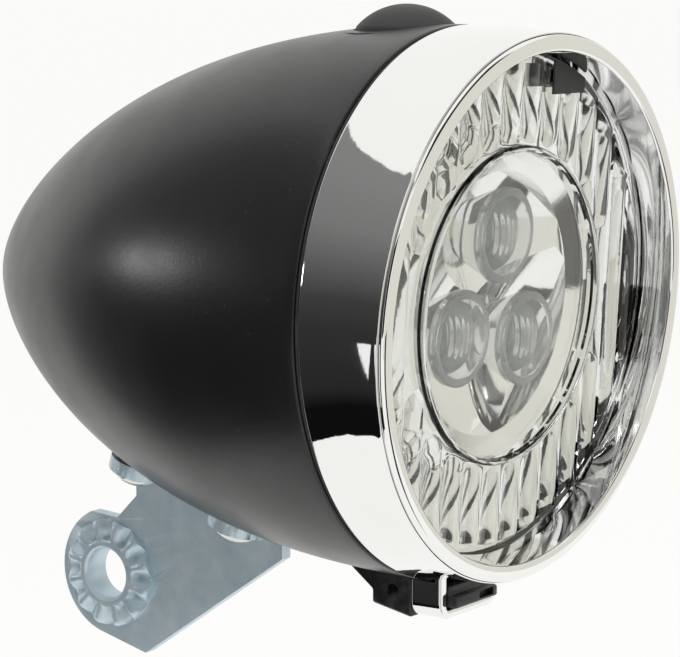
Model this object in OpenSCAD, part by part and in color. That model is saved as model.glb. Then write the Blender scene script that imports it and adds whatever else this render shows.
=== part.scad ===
// Battery bicycle headlight: a bullet housing, a tilting bezel with a fluted lens over three LEDs,
// a push button on top, a snap catch below and a riveted bracket with a toothed eye.
// Millimetres. The lamp faces -Y, +Z is up, and the origin is the centre of the bracket's bolt hole.

/* [Housing] */
// Outer radius of the housing at its mouth
mouth_r = 34; // [33:0.5:36]
// Room in the nose, from the battery carrier to where the flanks would meet on the axis
nose_room = 17; // [16:0.2:24]
// Radius at which the flanks give way to the round tip of the nose
tip_r = 4.3; // [3:0.1:6]
// Wall thickness of the housing
shell_wall = 2.2; // [1.8:0.1:2.6]
// How late the flank starts to draw in towards the nose
nose_power = 2.32; // [2.2:0.02:2.6]
// How full the nose is
flank_power = 1.25; // [1.2:0.01:1.5]
// Height of the lamp's axis above the bolt hole
axis_height = 41.6; // [41.2:0.1:44]
// Distance from the bolt hole forward to the housing's mouth
seam_ahead = 57.3; // [56:0.1:59]

/* [Bezel] */
// Room for the retainer at the bottom of the bezel, between the reflector's flange and the seam
retainer_room = 1.64; // [1.6:0.02:3]
// Wall thickness of the bezel
bezel_wall = 1.8; // [1.5:0.1:2]
// How much the bezel narrows from the seam to its front, in radius
bezel_taper = 0.7; // [0.5:0.1:0.8]
// Rake of the bezel's front, top leaning forward, in degrees
rake = 3.3; // [2:0.1:4]
// Drop of the bevel on the bezel's rear edge, at the top, on which the front tilts
tilt_bevel = 0.6; // [0.5:0.1:0.8]
// How far the rolled lip is set in from the wall
lip_step = 0.3; // [0.2:0.1:0.4]
// How far the rolled lip stands ahead of the wall
lip_out = 0.7; // [0.6:0.1:1.2]
// Radius of the lip's outer roll
lip_round = 0.6; // [0.4:0.1:0.8]
// Width of the lip, from its outer edge to the opening
lip_width = 2; // [1.8:0.1:2.2]
// Taper of the bright reveal between the lip and the lens
reveal_taper = 0.5; // [0.2:0.1:0.8]
// Depth of the lens seat behind the front of the wall
seat_depth = 3.7; // [3.4:0.1:4.2]
// Thickness of the ring that holds the lens, next to the wall
holder_wall = 1.4; // [1.2:0.1:1.6]
// Thickness of the gasket in the seam
seam_gasket_t = 0.5; // [0.4:0.1:0.6]

/* [Lens] */
// Thickness of the lens
lens_t = 1.8; // [1.5:0.1:2.2]
// Thickness of the gasket in front of the lens
lens_gasket_t = 0.5; // [0.3:0.1:0.6]
// Spacing of the upright flutes
flute_pitch = 4.3; // [4:0.1:5]
// Width of a flute
flute_w = 3.9; // [3.4:0.1:3.9]
// Height of a flute
flute_h = 0.5; // [0.4:0.1:0.8]
// Radius of the plain window in the lens
window_r = 19.1; // [18.8:0.1:20]
// Width of the bead round the window
bead_w = 0.9; // [0.6:0.1:1.2]
// Height of the bead round the window
bead_h = 1; // [0.6:0.1:1.2]
// Width of the locating tab at the top of the lens gasket
tab_w = 7.2; // [4:0.2:8]
// Lowest height of the locating tab above the lamp's axis
tab_low = 25.4; // [24:0.2:26]
// Distance of the locating tab to the right of the middle
tab_x = 9.6; // [8:0.2:11]

/* [Reflector and LEDs] */
// Thickness of the reflector's flange
flange_t = 1.5; // [1.2:0.1:2]
// Width of the reflector's flat rim
rim_w = 2.7; // [2.4:0.1:3.2]
// Radius of the reflector's well, inside its bevel
well_r = 16.2; // [16:0.1:16.8]
// Fall of the bevel round the well
well_fall = 1.1; // [0.8:0.1:1.4]
// Fall of the reflector's outer slope
slope_fall = 2.7; // [2:0.1:3.2]
// Depth of the central bowl, from its edge to its back
bowl_depth = 7.7; // [7.6:0.1:9]
// Turn of the three LEDs about the lamp's axis, in degrees
led_turn = -6; // [-10:1:0]
// Distance from an LED to the lamp's axis
led_pitch_r = 8.4; // [8:0.1:9]
// Diameter of a collimator at its front
collimator_d = 11.8; // [11:0.1:12.4]
// Diameter of the domed lens in the middle of a collimator
eyelet_d = 8; // [7:0.1:8.2]
// Diameter of a collimator's foot
foot_d = 7; // [6.4:0.1:7.4]
// Thickness of the collar on a collimator's foot, between the reflector and the board
led_collar_t = 1; // [0.8:0.1:1.4]
// Width of an LED chip
chip_w = 2.8; // [2.4:0.1:3.2]
// Focal length of the three cups
cup_focus = 7; // [6.4:0.1:7.6]
// Radius of the LED board
board_r = 18.5; // [18:0.1:19.5]
// Thickness of the circuit boards
board_t = 1.6; // [1.2:0.1:1.8]
// Distance of the board's screws from the lamp's axis
board_screw_r = 15.5; // [15:0.1:16]

/* [Button and switch] */
// Distance of the button behind the mouth
button_back = 8.5; // [8.4:0.1:10]
// Diameter of the rubber button
button_d = 12.6; // [11.5:0.1:13]
// Height of the button above the housing
button_rise = 2.6; // [2.2:0.1:3]
// Travel of the button
button_travel = 1.2; // [0.8:0.1:1.4]
// Depth to which the button's skirt sits in its recess
skirt_depth = 1.1; // [0.9:0.1:1.4]
// Thickness of the floor under the button
button_floor = 1.4; // [1.2:0.1:1.8]
// Diameter of the button's stem
stem_d = 3.6; // [3:0.1:4]
// Width of the square switch
switch_w = 7; // [6:0.5:8]
// Height of the switch
switch_h = 5; // [4.4:0.1:5.2]
// Distance of the switch posts from the middle
post_x = 8; // [7.6:0.1:9]

/* [Batteries] */
// Diameter of a cell
cell_d = 10.5; // [10:0.1:10.8]
// Length of a cell with its pip
cell_len = 44.5; // [43.5:0.1:44.8]
// Distance from a cell's axis to the lamp's axis
cell_pitch_r = 7; // [6.9:0.1:7.4]
// Thickness of the carrier's end plates
end_plate_t = 2; // [1.6:0.1:2.4]
// Thickness of the carrier's fins
fin_t = 1; // [0.8:0.1:1.2]
// Distance of the carrier's front terminals behind the screws of the LED board
terminal_room = 0.54; // [0.5:0.02:1.2]
// Thickness of the terminals
terminal_t = 0.6; // [0.4:0.1:0.8]

/* [Bracket] */
// Diameter of the bolt hole
bolt_d = 7; // [6.4:0.1:7.5]
// Thickness of the bracket's sheet
sheet_t = 1.8; // [1.5:0.1:2.2]
// Radius of the eye
eye_r = 8.9; // [8.5:0.1:9.2]
// Radius of the toothed boss
boss_r = 7.4; // [7:0.1:7.6]
// Height of the toothed boss above the sheet
boss_h = 1.4; // [1.3:0.1:2]
// Height of the plain collar on the far side of the eye
collar_h = 1; // [0.6:0.1:1.4]
// Number of teeth on the boss
tooth_count = 12; // [10:1:16]
// Depth of the teeth
tooth_depth = 1.1; // [0.8:0.1:1.2]
// Radius at which the teeth start, outside a plain ring round the hole
tooth_in = 4.9; // [4.6:0.1:5.4]
// Depth of the notch where the eye meets the upright sheet's rear edge
eye_notch = 1; // [0.6:0.1:1.2]
// Slope of the flange, rising to the rear, in degrees
flange_slope = 17.6; // [16:0.2:19]
// Distance of the flange's middle ahead of the bolt hole
flange_ahead = 17.2; // [16.6:0.1:18]
// How far the flange's seat is let into the underside of the housing, at its middle
seat_sink = 0.8; // [0.4:0.1:1]
// Length of the flange along its slope
flange_len = 26.4; // [25.5:0.1:28]
// Width of the flange between its ears, from the middle of the upright sheet
flange_w = 5.2; // [4.8:0.1:6]
// Radius of the flange's ears, round the rivets
ear_r = 3.9; // [3.6:0.1:4.2]
// Outer radius of the bend
bend_r = 2.4; // [2:0.1:3]
// How far the upright sheet's lowest corner is ahead of the bolt hole
corner_ahead = 6; // [5.5:0.1:7]
// How far the upright sheet's lowest corner is below the bolt hole
corner_below = 10.5; // [10:0.1:11.2]
// How far the upright sheet reaches below the flange at its front end
front_drop = 4.9; // [4:0.1:6]
// Height of the step in the upright sheet's rear edge above the bolt hole
rear_step = 11.3; // [10.8:0.1:12]
// Distance between the rivets
rivet_span = 17.9; // [17:0.1:18.5]
// Distance of the rivets from the upright sheet's middle
rivet_out = 4.6; // [4.4:0.1:5]
// Diameter of a rivet's shank
rivet_d = 3.2; // [3:0.1:3.6]
// Diameter of a rivet's head
rivet_head_d = 6.4; // [6:0.1:6.8]
// Height of a rivet's head
rivet_head_h = 1.8; // [1.4:0.1:2.2]
// Thickness of the washers inside the housing
washer_t = 0.8; // [0.6:0.1:1]
// Thickness of the moulded pad that the flange sits on
pad_h = 4.2; // [4:0.1:5]
// How far the pad is set in from the flange's edges
pad_inset = 0.6; // [0.4:0.1:0.8]

/* [Catch] */
// Outer width of the stirrup
stirrup_w = 12.8; // [12:0.1:13.5]
// Thickness of the stirrup's arms
stirrup_wall = 1.5; // [1.2:0.1:1.6]
// Thickness of the stirrup's lower bar
stirrup_bar = 1.1; // [0.9:0.1:1.4]
// Drop of the stirrup below the bezel
stirrup_drop = 4.5; // [4.2:0.1:5]
// Distance that the stirrup reaches behind the seam
stirrup_back = 3; // [2.6:0.1:3.2]
// Distance that the stirrup's arms reach ahead of the seam, along the bezel
stirrup_ahead = 1.3; // [1.2:0.1:2]
// Thickness of the catch's tongue
tongue_t = 2.6; // [2.2:0.1:2.7]
// Distance that the tongue's front stands ahead of the seam
tongue_ahead = 1.4; // [1:0.1:2]
// Further reach of the thumb ledge
ledge_reach = 1.1; // [0.8:0.1:1.5]
// Width of the tongue's root between the cheeks
root_w = 6; // [5:0.1:6.2]
// Width of the catch's block under the housing
block_w = 11.2; // [10.8:0.1:12]
// Length of the block along the housing
block_len = 6; // [5.6:0.1:7]
// Length of the ramp behind the block
ramp_len = 4.2; // [3.5:0.1:5]
// Rise of the block's underside to the rear
block_rise = 1.1; // [0.8:0.1:1.4]
// Drop of the block below the mouth's edge
block_drop = 4.9; // [4.8:0.1:5.4]
// Diameter of the catch's pivot pin
catch_pin_d = 1.6; // [1.4:0.1:1.8]

/* [Fits] */
// Clearance between pieces that pass each other
slip = 0.3; // [0.25:0.05:0.35]
// Radial clearance of the catch's pin
pin_fit = 0.05; // [0.03:0.01:0.08]
// Clearance round rivets, screws and pieces that are fixed together
snug = 0.1; // [0.06:0.01:0.14]

/* [Hidden] */
$fn = 96;
far = 100;
profile_steps = 24;
tip_steps = 5;
// Overlap of shapes that are joined into one piece, and of cutters past what they cut
bite = 1;
cell_angles = [90, 210, 330];
fin_angles = [270, 30, 150];
led_angles = [for (a = cell_angles) a + led_turn];
land_angles = [for (a = fin_angles) a + led_turn];

// The front tilts on the lower edge of the bevel
pivot_y = -seam_gasket_t;
pivot_z = mouth_r - tilt_bevel;
bevel_angle = 45;
// Depths below are measured back from the front of the bezel's wall, along the raked axis
front_r = mouth_r - bezel_taper;
lip_r = front_r - lip_step;
opening_r = lip_r - lip_width;
seat_r = opening_r - reveal_taper;
holder_r = mouth_r - bezel_wall;
lens_r = holder_r - holder_wall / 2 - snug - slip / 2;
lip_edge = 0.4;
lip_root = 1.2;
flute_margin = 1.2;
// A flute is kept when at least this share of it lies on the lens
flute_share = 0.6;
flute_out = seat_r - flute_margin;
tab_t = 0.3;
lens_d0 = seat_depth + lens_gasket_t;
lens_d1 = lens_d0 + lens_t;
tab_d = lens_d0 - flute_h - snug / 2;
flange_d1 = lens_d1 + flange_t;
bezel_len = flange_d1 + mouth_r * tan(rake) + retainer_room;
bowl_d0 = lens_d1 + slip;
bowl_r = window_r - bead_w / 2;
bowl_wall = 1.4;
draft = 0.4;
bowl_edge_r = bowl_r + bowl_wall;
bowl_back = bowl_d0 + bowl_depth;
well_d0 = bowl_d0 + well_fall;
cup_wall = 0.9;
cup_floor = bowl_back - cup_wall;
cup_steps = 14;
board_d0 = bowl_back + led_collar_t;
board_d1 = board_d0 + board_t;
collimator_d0 = bowl_d0 + slip;
collimator_rim = 1;
collimator_groove = 1.5;
groove_w = 0.8;
// The middle of a collimator is part of a ball as large in radius as the middle is across
eyelet_angle = 30;
foot_collar = 0.8;
foot_len = 1.2;
chip_t = 0.8;
chip_dome = 0.4;
chip_room = 2.4;
screw_r = 0.95;
screw_head_r = 1.9;
screw_head_h = 1.2;
screw_bite = 3.5;
screw_back = (board_d1 + screw_head_h) * cos(rake) + (board_screw_r + screw_head_r) * sin(rake);
post_r = 2.1;
// Battery carrier, behind the LED board
terminal_back = screw_back - bezel_len + terminal_room;
carrier_edge = 0.75;
carrier_r = cell_pitch_r + cell_d / 2 + carrier_edge;
carrier_y0 = terminal_back + terminal_t;
carrier_y1 = carrier_y0 + 2 * end_plate_t + 2 * terminal_t + cell_len + slip;
cell_y0 = carrier_y0 + end_plate_t + terminal_t;
shell_len = carrier_y1 + nose_room;
// Contact leaves and retainer
leaf_w = 3.2;
leaf_t = 0.4;
leaf_low = -2.5;
leaf_high = 4.5;
leaf_foot = 2;
retainer_r = holder_r - slip;
rim_grip = 0.8;
retainer_in = lens_r - rim_grip * rim_w;
mouth_in = mouth_r - shell_wall;
spigot_r = mouth_in - slip - snug;
spigot_len = 3;
spigot_root = 1.5;
// Two curved hooks on the retainer reach behind two ribs in the housing
hook_x = 10;
hook_w = 4;
hook_t = 1.2;
rib_y = 1.2;
rib_t = 1.2;
rib_x0 = hook_x - hook_w / 2 - slip;
rib_x1 = hook_x + hook_w / 2 + slip;
rib_h = 1.1;
rib_low = sqrt(pow(mouth_in, 2) - pow(rib_x1, 2)) - rib_h;
hook_in = norm([rib_y + rib_t - pivot_y, pivot_z - rib_low]) + slip;
hook_overlap = 0.8;
hook_tip = rib_low + hook_overlap;
hook_root = 2.6;
spigot_side = 2;
spigot_gap = hook_x + hook_w / 2 + spigot_side;
// The button stands on the crown of the housing
crown = shell_r(button_back, mouth_r, shell_len);
recess_z = crown - skirt_depth - button_travel - slip;
boss_low = recess_z - button_floor;
switch_top = boss_low - slip;
switch_low = switch_top - switch_h;
stem_low = switch_top + button_travel + slip;
switch_floor = 0.8;
plunger_low = switch_low + button_travel + switch_floor;
plunger_step = 0.4;
plunger_d = stem_d - plunger_step;
switch_board_t = 1.2;
switch_board_edge = 1;
switch_board_w = switch_w + 2 * switch_board_edge;
recess_r = button_d / 2 + slip;
recess_wall = 1.4;
button_edge = 0.3;
button_steps = 10;
// Inside of the housing
cradle_fin_t = 1.6;
stop_len = 3.5;
stop_h = 3;
pip_r = 1.9;
pip_len = 1;
cell_terminal_r = 3.2;
pad_terminal_r = 3.4;
pad_x = 6;
// Bracket
seat_y = -flange_ahead;
seat_up = axis_height - shell_r(seam_ahead - flange_ahead, mouth_r, shell_len) + seat_sink;
plate_front = seat_y - flange_len / 2 * cos(flange_slope);
plate_rear = seat_y + flange_len / 2 * cos(flange_slope);
notch_angle = 98;
horn_angle = 66;
collar_wall = 1.6;
tooth_half = 1.7;
rivet_steps = 8;
upset_w = 1;
upset_h = 1;
upset_draft = 0.4;
washer_d = rivet_head_d + 2 * slip;
washer_top = pad_h + washer_t;
// Catch
block_y0 = stirrup_back + 2 * slip;
block_y1 = block_y0 + block_len;
block_low = -mouth_r - block_drop;
window_low = -mouth_r - stirrup_drop + stirrup_bar;
tongue_low = window_low + slip;
tongue_top = tongue_low + tongue_t;
tongue_w = stirrup_w - 2 * stirrup_wall - 2 * slip;
block_heel = 2.8;
weld = 0.02;
stirrup_round = 2;
root_r = tongue_t / 2;
catch_y = block_y0 + root_r + 5 * slip;
catch_z = tongue_low + root_r;
pocket_w = 3.1;
pocket_h = 0.9;
pocket_depth = 0.8;
pocket_edge = 1;
pocket_low = 0.35;

// Radius of the bullet shape at a distance y behind its mouth
function shell_r(y, r, len) = r * pow(max(1 - pow(max(y, 0) / len, nose_power), 0), 1 / flank_power);
// Distance behind the mouth at which the flank reaches the round tip
function tip_y(r, len) = len * pow(1 - pow(tip_r / r, flank_power), 1 / nose_power);
// Angle between the lamp's axis and the surface's normal where the tip starts
function tip_angle(r, len) = let (s = tip_y(r, len) / len)
    atan(len / r * flank_power / nose_power * pow(s, 1 - nose_power)
        * pow(1 - pow(s, nose_power), 1 - 1 / flank_power));
// Half profile of the bullet: its flank, then a round tip that runs on smoothly to the axis
function bullet(r, len, start) = let (
    join = tip_y(r, len),
    angle = tip_angle(r, len),
    ball = tip_r / sin(angle),
    centre = join - ball * cos(angle)) concat(
    [[0, start], [r, start]],
    [for (i = [start < 0 ? 0 : 1 : profile_steps])
        let (y = join * sin(90 * i / profile_steps)) [shell_r(y, r, len), y]],
    [for (i = [1 : tip_steps]) let (a = angle * (1 - i / tip_steps))
        [ball * sin(a), centre + ball * cos(a)]]);
// Points of an arc
function arc(c, r, a0, a1, n = 8) = [for (i = [0 : n])
    let (a = a0 + (a1 - a0) * i / n) [c[0] + r * cos(a), c[1] + r * sin(a)]];
// Height of the bracket's seat at a distance y from the bolt hole
function seat_z(y) = seat_up + tan(flange_slope) * (y - seat_y);
// Point on a circle round the lamp's axis
function on_circle(r, a) = [r * cos(a), r * sin(a)];

// Places what is modelled from the centre of the housing's mouth, with +Y to the rear
module lamp() translate([0, -seam_ahead, axis_height]) children();
// Turns an upright shape so that its Z runs back along the lamp's axis
module back() rotate([-90, 0, 0]) mirror([0, 1, 0]) children();
// Places what is modelled from the centre of the bezel's raked front
module raked() lamp() translate([0, -bezel_len, 0]) rotate([rake, 0, 0]) children();
// A ring turned about the lamp's axis, between two radii and two depths
module ring(r0, r1, y0, y1) back() rotate_extrude() polygon([[r0, y0], [r1, y0], [r1, y1], [r0, y1]]);
// A disc or bar along the lamp's axis
module rod(r, y0, y1) back() translate([0, 0, y0]) cylinder(r = r, h = y1 - y0);
// A bar along X
module cross_bar(r, x0, x1) translate([x0, 0, 0]) rotate([0, 90, 0]) cylinder(r = r, h = x1 - x0);
// Places round the lamp's axis
module place_round(r, a) translate([on_circle(r, a)[0], 0, on_circle(r, a)[1]]) children();
module led_place(a) place_round(led_pitch_r, a) children();
module land_place(a) place_round(board_screw_r, a) children();
module cell_place(a) place_round(cell_pitch_r, a) children();
// A block between two corners
module block(a, b) translate(a) cube(b - a);
// Frame of the bracket's flange: Z is 0 on the seat, Y runs up the slope to the rear
module flange_frame() translate([0, seat_y, seat_up]) rotate([flange_slope, 0, 0]) children();
module rivet_places() for (s = [-1, 1]) translate([-rivet_out, s * rivet_span / 2, 0]) children();

module bullet_solid() back() rotate_extrude() polygon(bullet(mouth_r, shell_len, 0));
module bullet_cavity() back() rotate_extrude()
    polygon(bullet(mouth_in, shell_len - shell_wall, -bite));

module catch_block() rotate([90, 0, 90]) translate([0, 0, -block_w / 2]) linear_extrude(block_w)
    polygon([[block_y0, bite - mouth_r], [block_y0, block_low], [block_y1, block_low + block_rise],
        [block_y1, block_low + block_heel], [block_y1 + ramp_len, bite - mouth_r]]);

module hook_ribs() for (s = [0, 1]) mirror([s, 0, 0])
    block([rib_x0, rib_y, rib_low], [rib_x1, rib_y + rib_t, far]);

module cradle_fins() for (a = fin_angles) rotate([0, -a, 0]) {
    block([carrier_r + snug, terminal_back, -cradle_fin_t / 2],
        [far, carrier_y1 + slip, cradle_fin_t / 2]);
    block([carrier_r - stop_h, carrier_y1 + slip, -cradle_fin_t / 2],
        [far, carrier_y1 + slip + stop_len, cradle_fin_t / 2]);
}

module switch_posts() for (s = [-1, 1]) translate([s * post_x, button_back, switch_low])
    cylinder(r = post_r, h = far);

module housing_inside() intersection() {
    bullet_solid();
    union() {
        hook_ribs();
        cradle_fins();
        switch_posts();
        translate([0, button_back, boss_low]) cylinder(r = recess_r + recess_wall, h = far);
    }
}

// Plan of the bracket's flange, with its two ears, drawn in by an inset
module flange_plan(inset) {
    translate([inset - flange_w, inset - flange_len / 2])
        square([flange_w + sheet_t / 2 - 2 * inset, flange_len - 2 * inset]);
    rivet_places() circle(r = ear_r - inset);
}

module pad() translate([0, seam_ahead, -axis_height]) flange_frame()
    linear_extrude(pad_h) flange_plan(pad_inset);

module housing_cuts() {
    translate([0, button_back, recess_z]) cylinder(r = recess_r, h = far);
    translate([0, button_back, boss_low - bite]) cylinder(r = stem_d / 2 + slip, h = far);
    for (s = [-1, 1]) translate([s * post_x, button_back, switch_low - bite])
        cylinder(r = screw_r + snug, h = screw_bite + bite + slip);
    translate([0, seam_ahead, -axis_height]) flange_frame() {
        translate([0, 0, -pad_h]) linear_extrude(pad_h) flange_plan(-slip);
        rivet_places() {
            translate([0, 0, -bite]) cylinder(d = rivet_d + 2 * snug, h = pad_h + 2 * bite);
            translate([0, 0, pad_h]) cylinder(d = washer_d + 2 * slip, h = washer_t + upset_h + slip);
        }
    }
    block([-root_w / 2 - slip, block_y0 - bite, block_low - bite],
        [root_w / 2 + slip, catch_y + root_r + 2 * slip, slip / 2 - mouth_r]);
    translate([0, catch_y, catch_z]) cross_bar(catch_pin_d / 2 + snug, -far, far);
}

module housing() color([0.06, 0.06, 0.065]) lamp() difference() {
    union() {
        difference() {
            union() {
                bullet_solid();
                catch_block();
            }
            bullet_cavity();
        }
        housing_inside();
        pad();
    }
    housing_cuts();
}

module seam_gasket() color([0.03, 0.03, 0.03]) lamp()
    ring(mouth_in + snug, mouth_r - slip, -seam_gasket_t, 0);

module bezel() color([0.85, 0.86, 0.88]) {
    difference() {
        lamp() back() rotate_extrude() polygon([[holder_r, -2 * bezel_len],
            [mouth_r - 2 * bezel_taper, -2 * bezel_len], [mouth_r, pivot_y], [holder_r, pivot_y]]);
        raked() block([-far, -far, -far], [far, 0, far]);
        lamp() translate([0, pivot_y, pivot_z]) rotate([bevel_angle, 0, 0])
            block([-far, 0, -far], [far, far, far]);
    }
    raked() back() rotate_extrude() polygon(concat(
        arc([lip_r - lip_round, lip_round - lip_out], lip_round, 0, -90),
        [[opening_r + lip_edge, -lip_out], [opening_r, lip_edge - lip_out], [seat_r, seat_depth],
            [lens_r + snug, seat_depth], [lens_r + snug, flange_d1 - slip],
            [holder_r + holder_wall / 2, flange_d1 - slip], [holder_r + holder_wall / 2, lip_root],
            [lip_r, lip_root]]));
}

module stirrup_outline() difference() {
    union() {
        translate([-stirrup_w / 2, stirrup_round - mouth_r - stirrup_drop])
            square([stirrup_w, stirrup_drop]);
        translate([stirrup_round - stirrup_w / 2, -mouth_r - stirrup_drop])
            square([stirrup_w - 2 * stirrup_round, stirrup_drop]);
        for (s = [-1, 1])
            translate([s * (stirrup_w / 2 - stirrup_round), stirrup_round - mouth_r - stirrup_drop])
                circle(r = stirrup_round);
    }
    translate([stirrup_wall - stirrup_w / 2, window_low])
        square([stirrup_w - 2 * stirrup_wall, 2 * stirrup_drop]);
}

module catch_stirrup() color([0.82, 0.83, 0.86]) lamp() difference() {
    translate([0, -stirrup_ahead, 0]) back()
        linear_extrude(stirrup_ahead + stirrup_back) stirrup_outline();
    rod(mouth_r + weld, -far, pivot_y);
    rod(mouth_r + slip, pivot_y - weld, far);
}

module lens_gasket() color([0.04, 0.04, 0.04]) raked() {
    ring(seat_r, lens_r, seat_depth, lens_d0);
    intersection() {
        block([tab_x - tab_w / 2, -far, tab_low], [tab_x + tab_w / 2, far, far]);
        union() {
            rod(seat_r - slip, tab_d - tab_t, tab_d);
            ring(flute_out + snug, seat_r - slip, tab_d - tab_t, lens_d0 - snug);
            ring(flute_out + snug, (seat_r + lens_r) / 2, seat_depth + snug, lens_d0 - snug);
        }
    }
}

module flutes() {
    flute_r = (pow(flute_w / 2, 2) + pow(flute_h, 2)) / (2 * flute_h);
    reach = floor(flute_out / flute_pitch + 1 - flute_share);
    intersection() {
        ring(window_r + bead_w / 2 + slip, flute_out, lens_d0 - flute_h - bite, lens_d0 + snug);
        for (i = [-reach : reach - 1])
            translate([(i + 0.5) * flute_pitch, lens_d0 - flute_h + flute_r, -far / 2])
                cylinder(r = flute_r, h = far);
    }
}

module lens() color([0.85, 0.9, 0.92, 0.45]) raked() union() {
    rod(lens_r, lens_d0, lens_d1);
    ring(window_r - bead_w / 2, window_r + bead_w / 2, lens_d0 - bead_h, lens_d0 + snug);
    flutes();
}

module cup(a) {
    cup_top = cup_floor - bowl_d0;
    led_place(a) back() rotate_extrude() polygon(concat(
        [for (i = [0 : cup_steps]) let (d = cup_top * pow(i / cup_steps, 2))
            [sqrt(4 * cup_focus * d), cup_floor - d]],
        [[0, bowl_d0]]));
}

module reflector() color([0.9, 0.9, 0.92]) raked() difference() {
    union() {
        back() rotate_extrude() polygon([
            [0, well_d0], [well_r, well_d0], [bowl_r, bowl_d0],
            [bowl_edge_r - draft, bowl_d0], [bowl_edge_r, lens_d1 + slope_fall],
            [lens_r - rim_w, lens_d1], [lens_r, lens_d1], [lens_r, flange_d1],
            [lens_r - rim_w, flange_d1], [bowl_edge_r + bowl_wall, flange_d1 + slope_fall],
            [bowl_edge_r + draft, bowl_back], [0, bowl_back]]);
        for (a = land_angles) land_place(a) rod(post_r, bowl_back - bite, board_d0);
    }
    intersection() {
        rod(well_r, bowl_d0, bowl_back);
        for (a = led_angles) cup(a);
    }
    for (a = led_angles) led_place(a) rod(foot_d / 2 + snug, bowl_d0, bowl_back + bite);
    for (a = land_angles) land_place(a)
        rod(screw_r + snug, board_d0 - screw_bite - slip, board_d0 + bite);
}

module collimator(a) color([0.9, 0.93, 0.95, 0.6]) raked() led_place(a) back() rotate_extrude()
    polygon(concat(
    arc([0, collimator_d0 + eyelet_d], eyelet_d, -90, eyelet_angle - 90),
    [[(eyelet_d + groove_w) / 2, collimator_d0 + collimator_groove],
        [eyelet_d / 2 + groove_w, collimator_d0], [collimator_d / 2, collimator_d0],
        [collimator_d / 2, collimator_d0 + collimator_rim], [foot_d / 2, bowl_back - foot_len],
        [foot_d / 2, bowl_back], [foot_d / 2 + foot_collar, bowl_back],
        [foot_d / 2 + foot_collar, board_d0], [chip_w / 2 + groove_w, board_d0],
        [chip_w / 2 + groove_w, board_d0 - chip_room], [0, board_d0 - chip_room]]));

module collimator_top() collimator(led_angles[0]);
module collimator_left() collimator(led_angles[1]);
module collimator_right() collimator(led_angles[2]);

module led_chips() color([0.95, 0.9, 0.55]) raked() for (a = led_angles) led_place(a) {
    block([-chip_w / 2, board_d0 - chip_t, -chip_w / 2], [chip_w / 2, board_d0, chip_w / 2]);
    rod(chip_w / 2 - slip, board_d0 - chip_t - chip_dome, board_d0 - snug);
}

module led_board() color([0.1, 0.35, 0.2]) raked() difference() {
    rod(board_r, board_d0, board_d1);
    for (a = land_angles) land_place(a) rod(screw_r + snug, board_d0 - bite, board_d1 + bite);
}

module board_screws() color([0.6, 0.6, 0.62]) raked() for (a = land_angles) land_place(a) {
    rod(screw_r, board_d0 - screw_bite, board_d1 + snug);
    rod(screw_head_r, board_d1, board_d1 + screw_head_h);
}

module contact_leaf() {
    leaf_end = bezel_len + terminal_back - 2 * slip;
    block([-leaf_w / 2, board_d1, leaf_low], [leaf_w / 2, board_d1 + leaf_t, leaf_high]);
    block([-leaf_w / 2, board_d1, leaf_low], [leaf_w / 2, leaf_end, leaf_low + leaf_t]);
    block([-leaf_w / 2, leaf_end - leaf_t, leaf_low], [leaf_w / 2, leaf_end, leaf_foot]);
}

module contact_leaves() color([0.75, 0.72, 0.6]) raked()
    for (s = [-1, 1]) translate([s * pad_x, 0, 0]) contact_leaf();

module hooks() intersection() {
    translate([0, pivot_y, pivot_z]) difference() {
        cross_bar(hook_in + hook_t, -far, far);
        cross_bar(hook_in, -far, far);
    }
    for (s = [0, 1]) mirror([s, 0, 0])
        block([hook_x - hook_w / 2, -spigot_root, 0], [hook_x + hook_w / 2, far, hook_tip]);
}

module front_retainer() color([0.07, 0.07, 0.075]) union() {
    difference() {
        lamp() ring(retainer_in, retainer_r, -2 * bezel_len, pivot_y - snug);
        raked() block([-far, -far, -far], [far, flange_d1, far]);
    }
    lamp() difference() {
        ring(retainer_in, spigot_r, -spigot_root, spigot_len);
        block([-spigot_gap, pivot_y - snug, 0], [spigot_gap, far, far]);
    }
    lamp() for (s = [0, 1]) mirror([s, 0, 0]) intersection() {
        block([hook_x - hook_w / 2, -hook_root, pivot_z - hook_in - hook_t],
            [hook_x + hook_w / 2, -bite, far]);
        rod((retainer_in + retainer_r) / 2, -far, far);
    }
    lamp() hooks();
}

module button_cap() color([0.09, 0.09, 0.09]) lamp() translate([0, button_back, 0]) {
    cap_h = button_rise + button_edge;
    ball = (pow(button_d / 2, 2) + pow(cap_h, 2)) / (2 * cap_h);
    rotate_extrude() polygon(concat(
        [[0, crown - skirt_depth], [button_d / 2, crown - skirt_depth]],
        arc([0, crown + button_rise - ball], ball, acos(button_d / 2 / ball), 90, button_steps)));
    translate([0, 0, stem_low]) cylinder(d = stem_d, h = crown - skirt_depth - stem_low + snug);
}

module switch_plunger() color([0.8, 0.8, 0.78]) lamp() translate([0, button_back, 0])
    translate([0, 0, plunger_low]) cylinder(d = plunger_d, h = stem_low - plunger_low);

module switch_body() color([0.12, 0.12, 0.13]) lamp() difference() {
    block([-switch_w / 2, button_back - switch_w / 2, switch_low],
        [switch_w / 2, button_back + switch_w / 2, switch_top]);
    translate([0, button_back, plunger_low - button_travel - slip])
        cylinder(d = plunger_d + 2 * snug, h = far);
}

module switch_board() color([0.1, 0.35, 0.2]) lamp() difference() {
    block([-post_x - post_r, button_back - switch_board_w / 2, switch_low - switch_board_t],
        [post_x + post_r, button_back + switch_board_w / 2, switch_low]);
    for (s = [-1, 1]) translate([s * post_x, button_back, 0]) cylinder(r = screw_r + snug, h = far);
}

module switch_screws() color([0.6, 0.6, 0.62]) lamp() for (s = [-1, 1])
    translate([s * post_x, button_back, switch_low - switch_board_t]) {
        cylinder(r = screw_r, h = switch_board_t + screw_bite);
        translate([0, 0, -screw_head_h]) cylinder(r = screw_head_r, h = screw_head_h);
    }

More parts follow.
